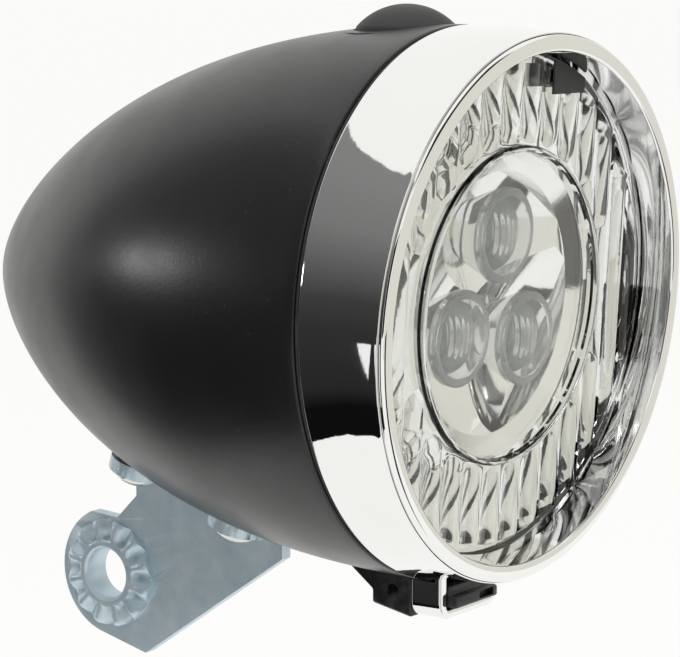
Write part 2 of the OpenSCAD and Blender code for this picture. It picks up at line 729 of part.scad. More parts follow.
module battery_carrier() color([0.1, 0.1, 0.11]) lamp() {
    rod(carrier_r, carrier_y0, carrier_y0 + end_plate_t);
    rod(carrier_r, carrier_y1 - end_plate_t, carrier_y1);
    for (a = fin_angles) rotate([0, -a, 0])
        block([-fin_t / 2, carrier_y0, -fin_t / 2], [carrier_r - fin_t, carrier_y1, fin_t / 2]);
}

module cell(a) color([0.75, 0.55, 0.2]) lamp() cell_place(a) {
    rod(cell_d / 2, cell_y0, cell_y0 + cell_len - pip_len);
    rod(pip_r, cell_y0 + cell_len - pip_len - snug, cell_y0 + cell_len);
}

module cell_top() cell(cell_angles[0]);
module cell_left() cell(cell_angles[1]);
module cell_right() cell(cell_angles[2]);

module front_terminals() color([0.78, 0.76, 0.7]) lamp() {
    for (a = cell_angles) cell_place(a) rod(cell_terminal_r, carrier_y0 + end_plate_t, cell_y0);
    for (s = [-1, 1]) translate([s * pad_x, 0, 0]) rod(pad_terminal_r, terminal_back, carrier_y0);
}

module rear_terminals() color([0.78, 0.76, 0.7]) lamp() for (a = cell_angles) cell_place(a)
    rod(cell_terminal_r, cell_y0 + cell_len + slip / 2, carrier_y1 - end_plate_t);

module plate_outline() {
    tip = [plate_front, seat_z(plate_front) - front_drop];
    low = [-corner_ahead, -corner_below];
    reach = norm(low);
    aim_r = eye_r - snug;
    tangent = 360 + atan2(low[1], low[0]) + acos(aim_r / reach);
    notch = on_circle(eye_r - eye_notch, notch_angle);
    difference() {
        union() {
            circle(r = eye_r);
            polygon([
                [plate_front, seat_z(plate_front)], tip, low, on_circle(aim_r, tangent), [0, 0],
                notch, [plate_rear, rear_step], [plate_rear, seat_z(plate_rear)]]);
        }
        polygon([notch, notch + 2 * (on_circle(eye_r, horn_angle) - notch), [plate_rear, 2 * eye_r],
            [plate_rear, rear_step]]);
    }
}

module toothed_boss() difference() {
    cross_bar(boss_r, -sheet_t / 2 - boss_h, 0);
    for (i = [0 : tooth_count - 1]) rotate([360 * (i + 0.5) / tooth_count, 0, 0])
        translate([-sheet_t / 2 - boss_h, 0, tooth_in]) linear_extrude(boss_r + bite - tooth_in)
            polygon([[-bite, -tooth_half], [tooth_depth, 0], [-bite, tooth_half]]);
}

module bend_waste() flange_frame() translate([sheet_t / 2 - bend_r, 0, -bend_r]) difference() {
    block([0, -far, 0], [far, far, far]);
    translate([0, -far - bite, 0]) back() cylinder(r = bend_r, h = 2 * (far + bite));
}

module bracket() color([0.55, 0.6, 0.64]) difference() {
    union() {
        rotate([90, 0, 90]) translate([0, 0, -sheet_t / 2]) linear_extrude(sheet_t) plate_outline();
        flange_frame() translate([0, 0, -sheet_t]) linear_extrude(sheet_t) flange_plan(0);
        toothed_boss();
        cross_bar(bolt_d / 2 + collar_wall, 0, sheet_t / 2 + collar_h);
    }
    bend_waste();
    cross_bar(bolt_d / 2, -far, far);
    flange_frame() rivet_places() translate([0, 0, -sheet_t - bite])
        cylinder(d = rivet_d + 2 * snug, h = sheet_t + 2 * bite);
}

module rivets() color([0.75, 0.75, 0.76]) flange_frame() rivet_places() rotate_extrude() polygon(concat(
    [[0, -sheet_t - rivet_head_h]],
    [for (i = [1 : rivet_steps]) let (a = 90 * (1 - i / rivet_steps))
        [rivet_head_d / 2 * cos(a), -sheet_t - rivet_head_h * sin(a)]],
    [[rivet_d / 2, -sheet_t], [rivet_d / 2, washer_top], [rivet_d / 2 + upset_w, washer_top],
        [rivet_d / 2 + upset_w - upset_draft, washer_top + upset_h], [0, washer_top + upset_h]]));

module rivet_washer() difference() {
    cylinder(d = washer_d, h = washer_t);
    translate([0, 0, -bite]) cylinder(d = rivet_d + 2 * snug, h = washer_t + 2 * bite);
}

module rivet_washers() color([0.7, 0.7, 0.72]) flange_frame() rivet_places()
    translate([0, 0, pad_h]) rivet_washer();

module catch_tongue() color([0.05, 0.05, 0.055]) lamp() difference() {
    union() {
        translate([0, catch_y, catch_z]) cross_bar(root_r, -root_w / 2, root_w / 2);
        block([-root_w / 2, 0, tongue_low], [root_w / 2, catch_y, tongue_top]);
        block([-tongue_w / 2, -tongue_ahead, tongue_low],
            [tongue_w / 2, stirrup_back + slip, tongue_top]);
        block([-tongue_w / 2, -tongue_ahead - ledge_reach, tongue_low],
            [tongue_w / 2, 0, tongue_low + tongue_t / 2]);
    }
    translate([0, catch_y, catch_z]) cross_bar(catch_pin_d / 2 + pin_fit, -far, far);
    translate([tongue_w / 2 - pocket_edge, pocket_depth - tongue_ahead - ledge_reach, tongue_low])
        block([-pocket_w, -far, pocket_low], [0, 0, pocket_low + pocket_h]);
}

module catch_pin() color([0.7, 0.7, 0.72]) lamp() translate([0, catch_y, catch_z])
    cross_bar(catch_pin_d / 2, -block_w / 2, block_w / 2);

housing();
seam_gasket();
bezel();
catch_stirrup();
lens_gasket();
lens();
reflector();
collimator_top();
collimator_left();
collimator_right();
led_chips();
led_board();
board_screws();
contact_leaves();
front_retainer();
button_cap();
switch_plunger();
switch_body();
switch_board();
switch_screws();
battery_carrier();
cell_top();
cell_left();
cell_right();
front_terminals();
rear_terminals();
bracket();
rivets();
rivet_washers();
catch_tongue();
catch_pin();
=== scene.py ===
"""Looks of the bicycle headlight: its smooth pieces, finishes, floor, light and camera."""

import math

import bmesh
import bpy
from mathutils import Matrix, Vector


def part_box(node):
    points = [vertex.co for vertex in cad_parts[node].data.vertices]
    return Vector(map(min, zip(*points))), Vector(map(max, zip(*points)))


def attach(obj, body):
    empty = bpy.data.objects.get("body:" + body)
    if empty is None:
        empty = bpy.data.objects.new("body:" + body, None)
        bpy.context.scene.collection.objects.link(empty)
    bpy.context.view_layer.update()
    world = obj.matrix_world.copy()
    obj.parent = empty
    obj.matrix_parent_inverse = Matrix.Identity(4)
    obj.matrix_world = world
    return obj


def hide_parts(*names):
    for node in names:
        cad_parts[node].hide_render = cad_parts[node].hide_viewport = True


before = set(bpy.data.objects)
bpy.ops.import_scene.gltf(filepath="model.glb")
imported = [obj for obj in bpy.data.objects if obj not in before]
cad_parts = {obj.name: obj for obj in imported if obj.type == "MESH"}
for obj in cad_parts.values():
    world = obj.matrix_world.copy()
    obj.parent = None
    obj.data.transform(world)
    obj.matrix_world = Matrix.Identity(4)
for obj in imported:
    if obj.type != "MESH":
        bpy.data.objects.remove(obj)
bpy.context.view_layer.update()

# The lamp's sizes are in millimetres and degrees. It faces -Y.
# Depths run back from the mouth or from the front.
MM = 0.001
seam_low, seam_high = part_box("seam_gasket")
bezel_low, bezel_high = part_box("bezel")
SEAM_Y = seam_high.y / MM
AXIS_Z = (seam_low.z + seam_high.z) / 2 / MM
MOUTH_R = (bezel_high.x - bezel_low.x) / 2 / MM

# Steps in a full turn, for wide, middling and small rounds
ROUND = 224
FINE = 128
SMALL = 96

# How far a cutting tool runs past what it cuts, in the open and close to other forms
PAST = 9
JUST_PAST = 1

# Housing
SHELL_LEN = 75.8
SHELL_WALL = 2.2
NOSE_POWER = 2.32
FLANK_POWER = 1.25
TIP_R = 4.3
EDGE = 0.3
SLIP = 0.3
RECESS_WALL = 1.4
RECESS_DROP = 0.9
RECESS_GAP = 0.02
RECESS_SINK = 2.3
FIN_ANGLES = (270, 30, 150)
FIN_HALF = 0.8
FIN_IN = 13.1
FIN_Y = (8.2, 59)
FIN_SINK = 1
STOP_IN = 10
STOP_BACK = 62.6
ROOM_FRONT = 0.9
RIB_X = 10
RIB_HALF = 2.3
RIB_Y = (1.2, 2.4)
RIB_LOW = 28.2
POST_X = 8
POST_R = 2.1
POST_LOW = 24.5
POST_GAP = 0.5

# Button
BUTTON_BACK = 8.5
BUTTON_R = 6.3
BUTTON_RISE = 2.6
BUTTON_DIP = 0.3
BUTTON_INSET = 0.15
BUTTON_EDGE = 0.2
BUTTON_SIDE = 0.45
SKIRT = 1.1
TRAVEL = 1.2
STEM_R = 1.8
STEM_LEN = 3.7

# Bezel and seam. The depths in the bezel run back from the raked front of its wall.
RAKE = 3.3
BEZEL_LEN = 11.1
BEZEL_WALL = 1.8
BEZEL_EDGE = 0.5
SEAM_GAP = 0.5
SEAM_ROUND = 0.2
SEAM_OUT = 0.45
SEAM_IN = 1.9
TILT_BEVEL = 0.6
FRONT_R = MOUTH_R - 0.7
BULGE_DEPTHS = (4.5, 3.5, 2.6, 1.8, 1.1, 0.5)
BULGE_SLOPE = 0.063
BULGE_CURVE = 0.006
SHOULDER = 0.15
LIP_R = FRONT_R - 0.3
LIP_OUT = 0.7
LIP_ROUND = 0.6
GROOVE = (LIP_R - 0.05, 0.25)
OPENING_R = 31.0
BROW = 0.4
SEAT_R = 30.5
SEAT_D = 3.7

# Lens and its gasket
LENS_R = 31.25
LENS_D = 4.2
LENS_T = 1.8
LENS_BACK = LENS_D + LENS_T
LENS_EDGE = 0.15
LENS_GAP = 0.05
LENS_ROOM = 0.1
TUBE_D = LENS_BACK + 1.2
PITCH = 4.3
FLUTE_W = 3.9
FLUTE_H = 0.32
FLUTE_OUT = 29.3
FLUTE_SUNK = 0.03
FLUTE_STEPS = 12
LAST_FLUTE = 0.6
WINDOW_R = 19.1
BEAD_W = 0.9
BEAD_H = 1.0
GASKET_R = SEAT_R + 0.35
GASKET_GAP = 0.03
# The tab is a dark piece that stands where the flutes show only a dark reflection: painted shade in the form
# of a piece
SHADE_TAB_W = 7.2
SHADE_TAB_X = 9.6
SHADE_TAB_LOW = 25.4
SHADE_TAB_T = 0.3
SHADE_TAB_GAP = 0.05

# Reflector and LEDs
LED_R = 8.4
LED_ANGLES = {"top": 84, "left": 204, "right": 324}
RIM_W = 2.7
RIM_T = 1.5
SLOPE_FALL = 2.7
SLOPE_R = 20.05
SLOPE_BACK_R = 21.45
STEP_R = 19.65
BEVEL_R = 18.65
WELL_R = 16.2
BOWL_D = LENS_BACK + 0.3
WELL_D = BOWL_D + 1.1
BOWL_BACK = BOWL_D + 7.7
BOWL_BACK_R = 20.45
CUP_FLOOR = BOWL_BACK - 0.9
CUP_FOCUS = 7.0
CUP_OVER = 0.6
CUP_STEPS = 28
FOOT_R = 3.5
FOOT_GAP = 0.1
FOOT_LIP = 0.8
FOOT_H = 1.2
COLLIMATOR_D = BOWL_D + 0.3
COLLIMATOR_R = 5.9
COLLIMATOR_EDGE = 0.15
COLLIMATOR_SIDE = 1
EYELET_R = 4.0
EYELET_STEPS = 24
EYELET_GROOVE = 1.5
EYELET_EDGE = 0.05
RIDGE_H = 0.09
RIDGE_PITCH = 1.15
BOARD_D = BOWL_BACK + 1.0
CHIP_ROOM_R = 2.2
CHIP_ROOM_H = 2.4

# Bracket, measured from the bolt hole
SHEET = 1.8
EYE_R = 8.9
EYE_END = 66
NOTCH = 1.0
NOTCH_ANGLE = 98
BOLT_R = 3.5
BORE_R = BOLT_R + 0.6
BOSS_R = 7.4
BOSS_H = 1.4
COLLAR_R = 5.1
COLLAR_H = 1.0
COLLAR_START = -0.4
CHAMFER = 0.2
TEETH = 12
TOOTH_DEPTH = 1.3
TOOTH_FADE = 0.45
TOOTH_IN = 4.9
TOOTH_SHAPE = (1, 0.78, 0.36, 0.08, 0, 0.08, 0.36, 0.78)
SLOPE = 17.6
FLANGE_AHEAD = 17.2
FLANGE_LEN = 26.4
FLANGE_W = 5.2
EAR_R = 3.9
BEND_R = 2.4
BEND_BLANK = 99
SEAT_SINK = 0.8
PAD_INSET = 0.6
PAD_H = 4.2
LOW_CORNER = (-6.0, -10.5)
FRONT_DROP = 4.9
REAR_STEP = 11.3
RIVET_OUT = 4.6
RIVET_SPAN = 17.9
RIVET_R = 1.6
RIVET_HEAD_R = 3.2
RIVET_HEAD_H = 1.8
RIVET_TOP = PAD_H + 0.8
UPSET_H = 1
UPSET_WIDE = 1
UPSET_NARROW = 0.6
RIVET_STEPS = 16

# Catch
STIRRUP_W = 12.8
STIRRUP_WALL = 1.5
STIRRUP_BAR = 1.1
STIRRUP_DROP = 4.5
STIRRUP_ROUND = 2.0
STIRRUP_INNER_ROUND = 0.4
STIRRUP_AHEAD = 1.3
STIRRUP_BACK = 3.0
STIRRUP_TOP = -31
STIRRUP_SINK = 0.6
TONGUE_W = 9.2
TONGUE_T = 2.6
TONGUE_AHEAD = 1.4
LEDGE = 1.1
LEDGE_RISE = 0.35
POCKET_X = (4.1, 1)
POCKET_Z = (0.35, 1.25)
POCKET_D = 0.8
ROOT_W = 6.0
BLOCK_W = 11.2
BLOCK_Y = (3.6, 9.6)
BLOCK_LOW = -38.9
BLOCK_RISE = 1.1
BLOCK_HEEL = 2.8
BLOCK_SINK = 1
RAMP = 4.2
PIN_Y = 6.4
SLOT_BACK = 1.9
SLOT_SINK = 0.15

LAMP = Matrix.Translation((0, SEAM_Y, AXIS_Z))
RAKED = LAMP @ Matrix.Translation((0, -BEZEL_LEN, 0)) @ Matrix.Rotation(math.radians(RAKE), 4, "X")


def shell_radius(y, mouth=MOUTH_R, length=SHELL_LEN):
    """Radius of the bullet shape at a distance behind its mouth."""
    return mouth * max(1 - (max(y, 0) / length) ** NOSE_POWER, 0) ** (1 / FLANK_POWER)


CROWN = shell_radius(BUTTON_BACK)
RECESS_Z = CROWN - SKIRT - TRAVEL - SLIP
SEAT_UP = AXIS_Z - shell_radius(-SEAM_Y - FLANGE_AHEAD) + SEAT_SINK
FLANGE = Matrix.Translation((0, -FLANGE_AHEAD, SEAT_UP)) @ Matrix.Rotation(math.radians(SLOPE), 4, "X")


# Mesh helpers

def arc(cx, cy, r, start, end, steps=8):
    """Points of an arc, with angles in degrees."""
    angles = [math.radians(start + (end - start) * i / steps) for i in range(steps + 1)]
    return [(cx + r * math.cos(a), cy + r * math.sin(a)) for a in angles]


def moved(bm, place):
    """A mesh put in its place."""
    bmesh.ops.transform(bm, matrix=place, verts=bm.verts)
    return bm


def tidied(bm, place=Matrix.Identity(4)):
    """Merges doubles, turns the faces outwards and puts the mesh in its place."""
    bmesh.ops.remove_doubles(bm, verts=bm.verts, dist=1e-4)
    bmesh.ops.recalc_face_normals(bm, faces=bm.faces)
    return moved(bm, place)


def wire(bm, points, closed=False):
    """A chain of points and the edges between them."""
    verts = [bm.verts.new(point) for point in points]
    pairs = list(zip(verts, verts[1:]))
    if closed:
        pairs.append((verts[-1], verts[0]))
    return verts + [bm.edges.new(pair) for pair in pairs]


def verts_of(geom):
    """The vertices among an operator's results."""
    return [part for part in geom if isinstance(part, bmesh.types.BMVert)]


def edges_of(geom):
    """The edges among an operator's results."""
    return [part for part in geom if isinstance(part, bmesh.types.BMEdge)]


def turned(profile, steps=ROUND, closed=False, place=Matrix.Identity(4)):
    """A profile of (radius, depth) points turned about the lamp's axis."""
    bm = bmesh.new()
    chain = wire(bm, [(r, d, 0) for r, d in profile], closed)
    bmesh.ops.spin(bm, geom=chain, cent=(0, 0, 0), axis=(0, 1, 0), angle=math.tau, steps=steps,
                   use_merge=True)
    return tidied(bm, place)


def rod(r, d0, d1, steps=ROUND, place=Matrix.Identity(4)):
    """A round bar along the lamp's axis."""
    return turned([(0, d0), (r, d0), (r, d1), (0, d1)], steps, place=place)


def upright(x, y):
    """A place, at a spot in plan, where depths run upwards."""
    return Matrix.Translation((x, y, 0)) @ Matrix.Rotation(math.radians(90), 4, "X")


def post(r, z0, z1, x=0.0, y=0.0):
    """An upright round bar."""
    return rod(r, z0, z1, SMALL, upright(x, y))


def box(low, high, place=Matrix.Identity(4)):
    """A block between two corners."""
    low, high = Vector(low), Vector(high)
    bm = bmesh.new()
    bmesh.ops.create_cube(bm, size=1, matrix=Matrix.LocRotScale((low + high) / 2, None, high - low))
    return tidied(bm, place)


def drawn_out(points, along):
    """A flat outline drawn out along a vector."""
    bm = bmesh.new()
    face = bm.faces.new([bm.verts.new(point) for point in points])
    grown = bmesh.ops.extrude_face_region(bm, geom=[face])["geom"]
    bmesh.ops.translate(bm, vec=along, verts=verts_of(grown))
    return tidied(bm)


def slab(outline, x0, x1):
    """An outline of (y, z) points drawn out along X."""
    return drawn_out([(x0, y, z) for y, z in outline], (x1 - x0, 0, 0))


def ring(bm, radius, place):
    """A circle of vertices about the Z axis of a place."""
    return bmesh.ops.create_circle(bm, segments=ROUND, radius=radius, matrix=place)["verts"]


def bridged(bm, rings):
    """Faces between each ring of vertices and the next, and between the last and the first."""
    loops = [{edge for vert in verts for edge in vert.link_edges} for verts in rings]
    for a, b in zip(loops, loops[1:] + loops[:1]):
        bmesh.ops.bridge_loops(bm, edges=list(a | b))
    return tidied(bm)


def as_mesh(name, bm):
    """A mesh from a bmesh, which is freed."""
    mesh = bpy.data.meshes.new(name)
    bm.to_mesh(mesh)
    bm.free()
    return mesh


def into_scene(name, data):
    """A new object in the scene."""
    obj = bpy.data.objects.new(name, data)
    bpy.context.scene.collection.objects.link(obj)
    return obj


def joined(*shapes):
    """One mesh that holds several shapes as they are."""
    whole = bmesh.new()
    for bm in shapes:
        mesh = as_mesh("shape", bm)
        whole.from_mesh(mesh)
        bpy.data.meshes.remove(mesh)
    return whole


def carved(bm, tool, operation="DIFFERENCE"):
    """A closed mesh cut by another, joined with it, or kept only inside it."""
    target, cutter = [into_scene("scratch", as_mesh("scratch", shape)) for shape in (bm, tool)]
    modifier = target.modifiers.new("carve", "BOOLEAN")
    modifier.object = cutter
    modifier.operation = operation
    modifier.solver = "MANIFOLD"
    shaped = target.evaluated_get(bpy.context.evaluated_depsgraph_get())
    result = bmesh.new()
    result.from_mesh(shaped.to_mesh())
    shaped.to_mesh_clear()
    for obj in (target, cutter):
        mesh = obj.data
        bpy.data.objects.remove(obj)
        bpy.data.meshes.remove(mesh)
    return result


def softened(bm, width, segments=3, angle=40):
    """Rounds every edge that turns by more than an angle."""
    bmesh.ops.dissolve_degenerate(bm, dist=1e-4, edges=bm.edges)
    edges = [e for e in bm.edges if e.calc_face_angle(0) > math.radians(angle)]
    bmesh.ops.bevel(bm, geom=edges, offset=width, offset_type="OFFSET", affect="EDGES", segments=segments,
                    profile=0.5, material=-1, clamp_overlap=True)
    return bm


def piece(name, bm, material, body, stands_for, place=LAMP, crease=32):
    """Puts a finished mesh into the scene as a piece of the object that stands for a CAD node."""
    moved(bm, Matrix.Scale(MM, 4) @ place)
    for face in bm.faces:
        face.smooth = True
    for edge in bm.edges:
        edge.smooth = edge.calc_face_angle(0) < math.radians(crease)
    mesh = as_mesh(name, bm)
    mesh.materials.append(material)
    obj = into_scene(name, mesh)
    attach(obj, body)
    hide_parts(stands_for)
    return obj


# Material helpers

def add(tree, kind, inputs=None, **settings):
    """A node with its settings. Each input takes a value or another node's output."""
    node = tree.nodes.new(kind)
    for key, value in settings.items():
        setattr(node, key, value)
    for key, value in (inputs or {}).items():
        if isinstance(value, bpy.types.NodeSocket):
            tree.links.new(value, node.inputs[key])
        else:
            node.inputs[key].default_value = value
    return node


def object_place(tree):
    """Object coordinates."""
    return add(tree, "ShaderNodeTexCoord").outputs["Object"]


def ramp(tree, factor, stops, interpolation="LINEAR"):
    """A colour ramp through (position, colour) stops, where a colour may be a single grey value."""
    node = add(tree, "ShaderNodeValToRGB", {"Fac": factor})
    node.color_ramp.interpolation = interpolation
    points = node.color_ramp.elements
    while len(points) < len(stops):
        points.new(0.5)
    for point, (position, colour) in zip(points, stops):
        point.position = position
        rgb = (colour,) * 3 if isinstance(colour, (int, float)) else colour
        point.color = (*rgb, 1)
    return node.outputs["Color"]


def spots(tree, where, scale, detail=2.0, roughness=0.5):
    """Noise in object coordinates, with its scale in features per metre."""
    return add(tree, "ShaderNodeTexNoise", {"Vector": where, "Scale": scale, "Detail": detail,
                                            "Roughness": roughness}).outputs["Fac"]


def calc(tree, operation, a, b):
    """One step of arithmetic on two values."""
    return add(tree, "ShaderNodeMath", {0: a, 1: b}, operation=operation).outputs[0]


def sum_of(tree, a, b, share):
    """a plus a share of b."""
    return add(tree, "ShaderNodeMath", {0: b, 1: share, 2: a}, operation="MULTIPLY_ADD").outputs[0]


def mapped(tree, value, low, high, to_low=0.0, to_high=1.0):
    """A value carried from one range to another."""
    return add(tree, "ShaderNodeMapRange", {"Value": value, "From Min": low, "From Max": high,
                                            "To Min": to_low, "To Max": to_high}).outputs["Result"]


def mixed(tree, factor, a, b):
    """A colour between two, either of which may be an output."""
    node = add(tree, "ShaderNodeMix", data_type="RGBA")
    for index, value in ((0, factor), (6, a), (7, b)):
        if isinstance(value, bpy.types.NodeSocket):
            tree.links.new(value, node.inputs[index])
        else:
            node.inputs[index].default_value = (*value, 1) if isinstance(value, tuple) else value
    return node.outputs[2]


def bump(tree, height, depth):
    """A normal from a height, with the depth in millimetres."""
    return add(tree, "ShaderNodeBump", {"Height": height, "Distance": depth * MM}).outputs["Normal"]


def group(name, inputs, *outputs):
    """A node group with named numbers going in and coming out, empty so far."""
    tree = bpy.data.node_groups.new(name, "ShaderNodeTree")
    for label, value in inputs.items():
        socket = tree.interface.new_socket(label, in_out="INPUT", socket_type="NodeSocketFloat")
        socket.default_value = value
    for label in outputs:
        tree.interface.new_socket(label, in_out="OUTPUT", socket_type="NodeSocketFloat")
    return tree, tree.nodes.new("NodeGroupInput").outputs, tree.nodes.new("NodeGroupOutput").inputs


def grain_group():
    """Fine moulded or plated grain over a slow swell: a height for bumps."""
    tree, given, out = group("surface_grain", {"Grain": 2500.0, "Swell": 120.0, "Swell share": 1.0}, "Height")
    where = object_place(tree)
    fine = spots(tree, where, given["Grain"], 3)
    slow = spots(tree, where, given["Swell"], 1)
    tree.links.new(sum_of(tree, fine, slow, given["Swell share"]), out["Height"])
    return tree


def handling_group():
    """Marks of handling: a roughness that wanders in soft smudges, and a mask of fine dust specks."""
    tree, given, out = group("handling_marks", {"Smooth": 0.3, "Smudged": 0.4, "Size": 60.0},
                             "Roughness", "Dust")
    where = object_place(tree)
    smudge = spots(tree, where, given["Size"], 4)
    rough = mapped(tree, smudge, 0.35, 0.7, given["Smooth"], given["Smudged"])
    tree.links.new(rough, out["Roughness"])
    specks = add(tree, "ShaderNodeTexVoronoi", {"Vector": where, "Scale": 420.0}).outputs["Distance"]
    tree.links.new(mapped(tree, specks, 0.05, 0.09, 1.0, 0.0), out["Dust"])
    return tree


def edge_group():
    """Where an edge is rubbed: a mask from how sharply the surface turns, broken up by noise."""
    tree, given, out = group("rubbed_edges", {"From": 0.53, "To": 0.6}, "Mask")
    turn = add(tree, "ShaderNodeNewGeometry").outputs["Pointiness"]
    sharp = mapped(tree, turn, given["From"], given["To"])
    broken = mapped(tree, spots(tree, object_place(tree), 700, 4), 0.4, 0.6)
    tree.links.new(calc(tree, "MULTIPLY", sharp, broken), out["Mask"])
    return tree


GRAIN = grain_group()
HANDLING = handling_group()
RUBBED = edge_group()


def placed(tree, shared, **inputs):
    """A shared effect placed in a material, with its own values."""
    node = add(tree, "ShaderNodeGroup", node_tree=shared)
    for key, value in inputs.items():
        node.inputs[key.replace("_", " ")].default_value = value
    return node.outputs


def finish(name, **sockets):
    """A material and its shader, with the values that are the same all over."""
    material = bpy.data.materials.new(name)
    material.use_nodes = True
    tree = material.node_tree
    shader = tree.nodes["Principled BSDF"]
    for key, value in sockets.items():
        shader.inputs[key.replace("_", " ")].default_value = value
    return material, tree, shader, object_place(tree)


def feed(tree, shader, **outputs):
    """Links outputs to the shader's sockets."""
    for key, value in outputs.items():
        tree.links.new(value, shader.inputs[key.replace("_", " ")])


# Finishes

DUST = (0.35, 0.34, 0.32)
DUST_SHARE = 0.05
RUBBED_ZINC = (0.85, 0.89, 0.91)
RUBBED_ZINC_SHARE = 0.12
SHADOW_OF_CLEAR = 0.12
JACKET_WEAR = 0.15


def moulded(name, dark, light, smooth, smudged, grain=2600.0, depth=0.02, swell_share=0.6, rub=0.35):
    """Moulded plastic or rubber: grain, smudges, a little dust and paler rubbed edges."""
    material, tree, shader, where = finish(name)
    height = placed(tree, GRAIN, Grain=grain, Swell=300.0, Swell_share=swell_share)["Height"]
    marks = placed(tree, HANDLING, Smooth=smooth, Smudged=smudged, Size=90.0)
    tone = mixed(tree, spots(tree, where, 55, 3), dark, light)
    pale = tuple(min(4 * c + 0.02, 1) for c in light)
    worn = mixed(tree, calc(tree, "MULTIPLY", placed(tree, RUBBED)["Mask"], rub), tone, pale)
    dusty = mixed(tree, calc(tree, "MULTIPLY", marks["Dust"], DUST_SHARE), worn, DUST)
    feed(tree, shader, Base_Color=dusty, Roughness=marks["Roughness"], Normal=bump(tree, height, depth))
    return material


def plated(name, colour, stain, smooth, smudged, depth):
    """Bright plated metal: a colour that wanders a little, smudges and a faint swell."""
    material, tree, shader, where = finish(name, Metallic=1.0)
    height = placed(tree, GRAIN, Grain=1500.0, Swell=90.0, Swell_share=2.0)["Height"]
    marks = placed(tree, HANDLING, Smooth=smooth, Smudged=smudged, Size=50.0)
    tone = mixed(tree, spots(tree, where, 70, 4), colour, stain)
    feed(tree, shader, Base_Color=tone, Roughness=marks["Roughness"], Normal=bump(tree, height, depth))
    return material


def zinc(name):
    """Zinc-plated sheet: blue-grey, mottled in soft spangles, with fine drawn scratches and rubbed edges."""
    material, tree, shader, where = finish(name, Metallic=0.55)
    stretched = add(tree, "ShaderNodeMapping", {"Vector": where, "Scale": (1, 1, 0.16)}).outputs[0]
    spangle = add(tree, "ShaderNodeTexVoronoi", {"Vector": where, "Scale": 330.0}, feature="SMOOTH_F1")
    mottle = sum_of(tree, spots(tree, where, 260, 5, 0.6), spangle.outputs["Distance"], 0.35)
    streaks = spots(tree, stretched, 900, 3)
    tone = ramp(tree, mottle, [(0.35, (0.51, 0.635, 0.70)), (0.6, (0.56, 0.68, 0.745)),
                               (0.85, (0.64, 0.75, 0.81))])
    worn = calc(tree, "MULTIPLY", placed(tree, RUBBED)["Mask"], RUBBED_ZINC_SHARE)
    rubbed = mixed(tree, worn, tone, RUBBED_ZINC)
    rough = mapped(tree, sum_of(tree, mottle, streaks, 0.5), 0.4, 1.1, 0.36, 0.43)
    height = sum_of(tree, spots(tree, where, 1400, 3), streaks, 0.6)
    feed(tree, shader, Base_Color=rubbed, Roughness=rough, Normal=bump(tree, height, 0.03))
    return material


def clear(name, tint, ior, clarity=1.0):
    """Clear moulded plastic with a faint swell, which casts only a thin shadow on what is behind it."""
    material, tree, shader, where = finish(name, IOR=ior, Transmission_Weight=clarity)
    marks = placed(tree, HANDLING, Smooth=0.0, Smudged=0.035, Size=70.0)
    height = placed(tree, GRAIN, Grain=900.0, Swell=160.0, Swell_share=2.0)["Height"]
    tone = mixed(tree, spots(tree, where, 90, 2), (1.0, 1.0, 1.0), tint)
    shadow = add(tree, "ShaderNodeLightPath").outputs["Is Shadow Ray"]
    solid = mapped(tree, shadow, 0.0, 1.0, 1.0, SHADOW_OF_CLEAR)
    feed(tree, shader, Base_Color=tone, Roughness=marks["Roughness"], Normal=bump(tree, height, 0.004),
         Alpha=solid)
    return material


def printed_board(name):
    """Green circuit board: glossy mask over faint copper tracks."""
    material, tree, shader, where = finish(name)
    tracks = add(tree, "ShaderNodeTexBrick", {
        "Vector": where, "Scale": 330.0, "Mortar Size": 0.08, "Color1": (0.02, 0.13, 0.06, 1),
        "Color2": (0.03, 0.17, 0.08, 1), "Mortar": (0.05, 0.24, 0.11, 1)}).outputs
    marks = placed(tree, HANDLING, Smooth=0.25, Smudged=0.4, Size=80.0)
    feed(tree, shader, Base_Color=tracks["Color"], Roughness=marks["Roughness"],
         Normal=bump(tree, tracks["Fac"], 0.03))
    return material


def phosphor(name):
    """Pale yellow LED chip."""
    material, tree, shader, where = finish(name)
    tone = mixed(tree, spots(tree, where, 2500, 3), (0.86, 0.8, 0.5), (0.95, 0.92, 0.72))
    marks = placed(tree, HANDLING, Smooth=0.2, Smudged=0.35, Size=400.0)
    feed(tree, shader, Base_Color=tone, Roughness=marks["Roughness"],
         Normal=bump(tree, spots(tree, where, 3000), 0.02))
    return material


def cell_jacket(name):
    """Shrunk foil jacket of a cell: dark for most of its length, then a copper band at the pip's end."""
    material, tree, shader, where = finish(name, Metallic=0.6)
    along = add(tree, "ShaderNodeSeparateXYZ", {"Vector": where}).outputs["Y"]
    cell_low, cell_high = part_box("cell_top")
    stops = [(0.0, (0.04, 0.04, 0.045)), (0.7, (0.62, 0.33, 0.12)), (0.97, (0.7, 0.7, 0.68))]
    bands = ramp(tree, mapped(tree, along, cell_low.y, cell_high.y), stops, "CONSTANT")
    worn = mixed(tree, spots(tree, where, 300, 4), bands, (0.3, 0.26, 0.2))
    marks = placed(tree, HANDLING, Smooth=0.2, Smudged=0.4, Size=60.0)
    feed(tree, shader, Base_Color=mixed(tree, JACKET_WEAR, bands, worn), Roughness=marks["Roughness"],
         Normal=bump(tree, placed(tree, GRAIN, Grain=900.0)["Height"], 0.02))
    return material


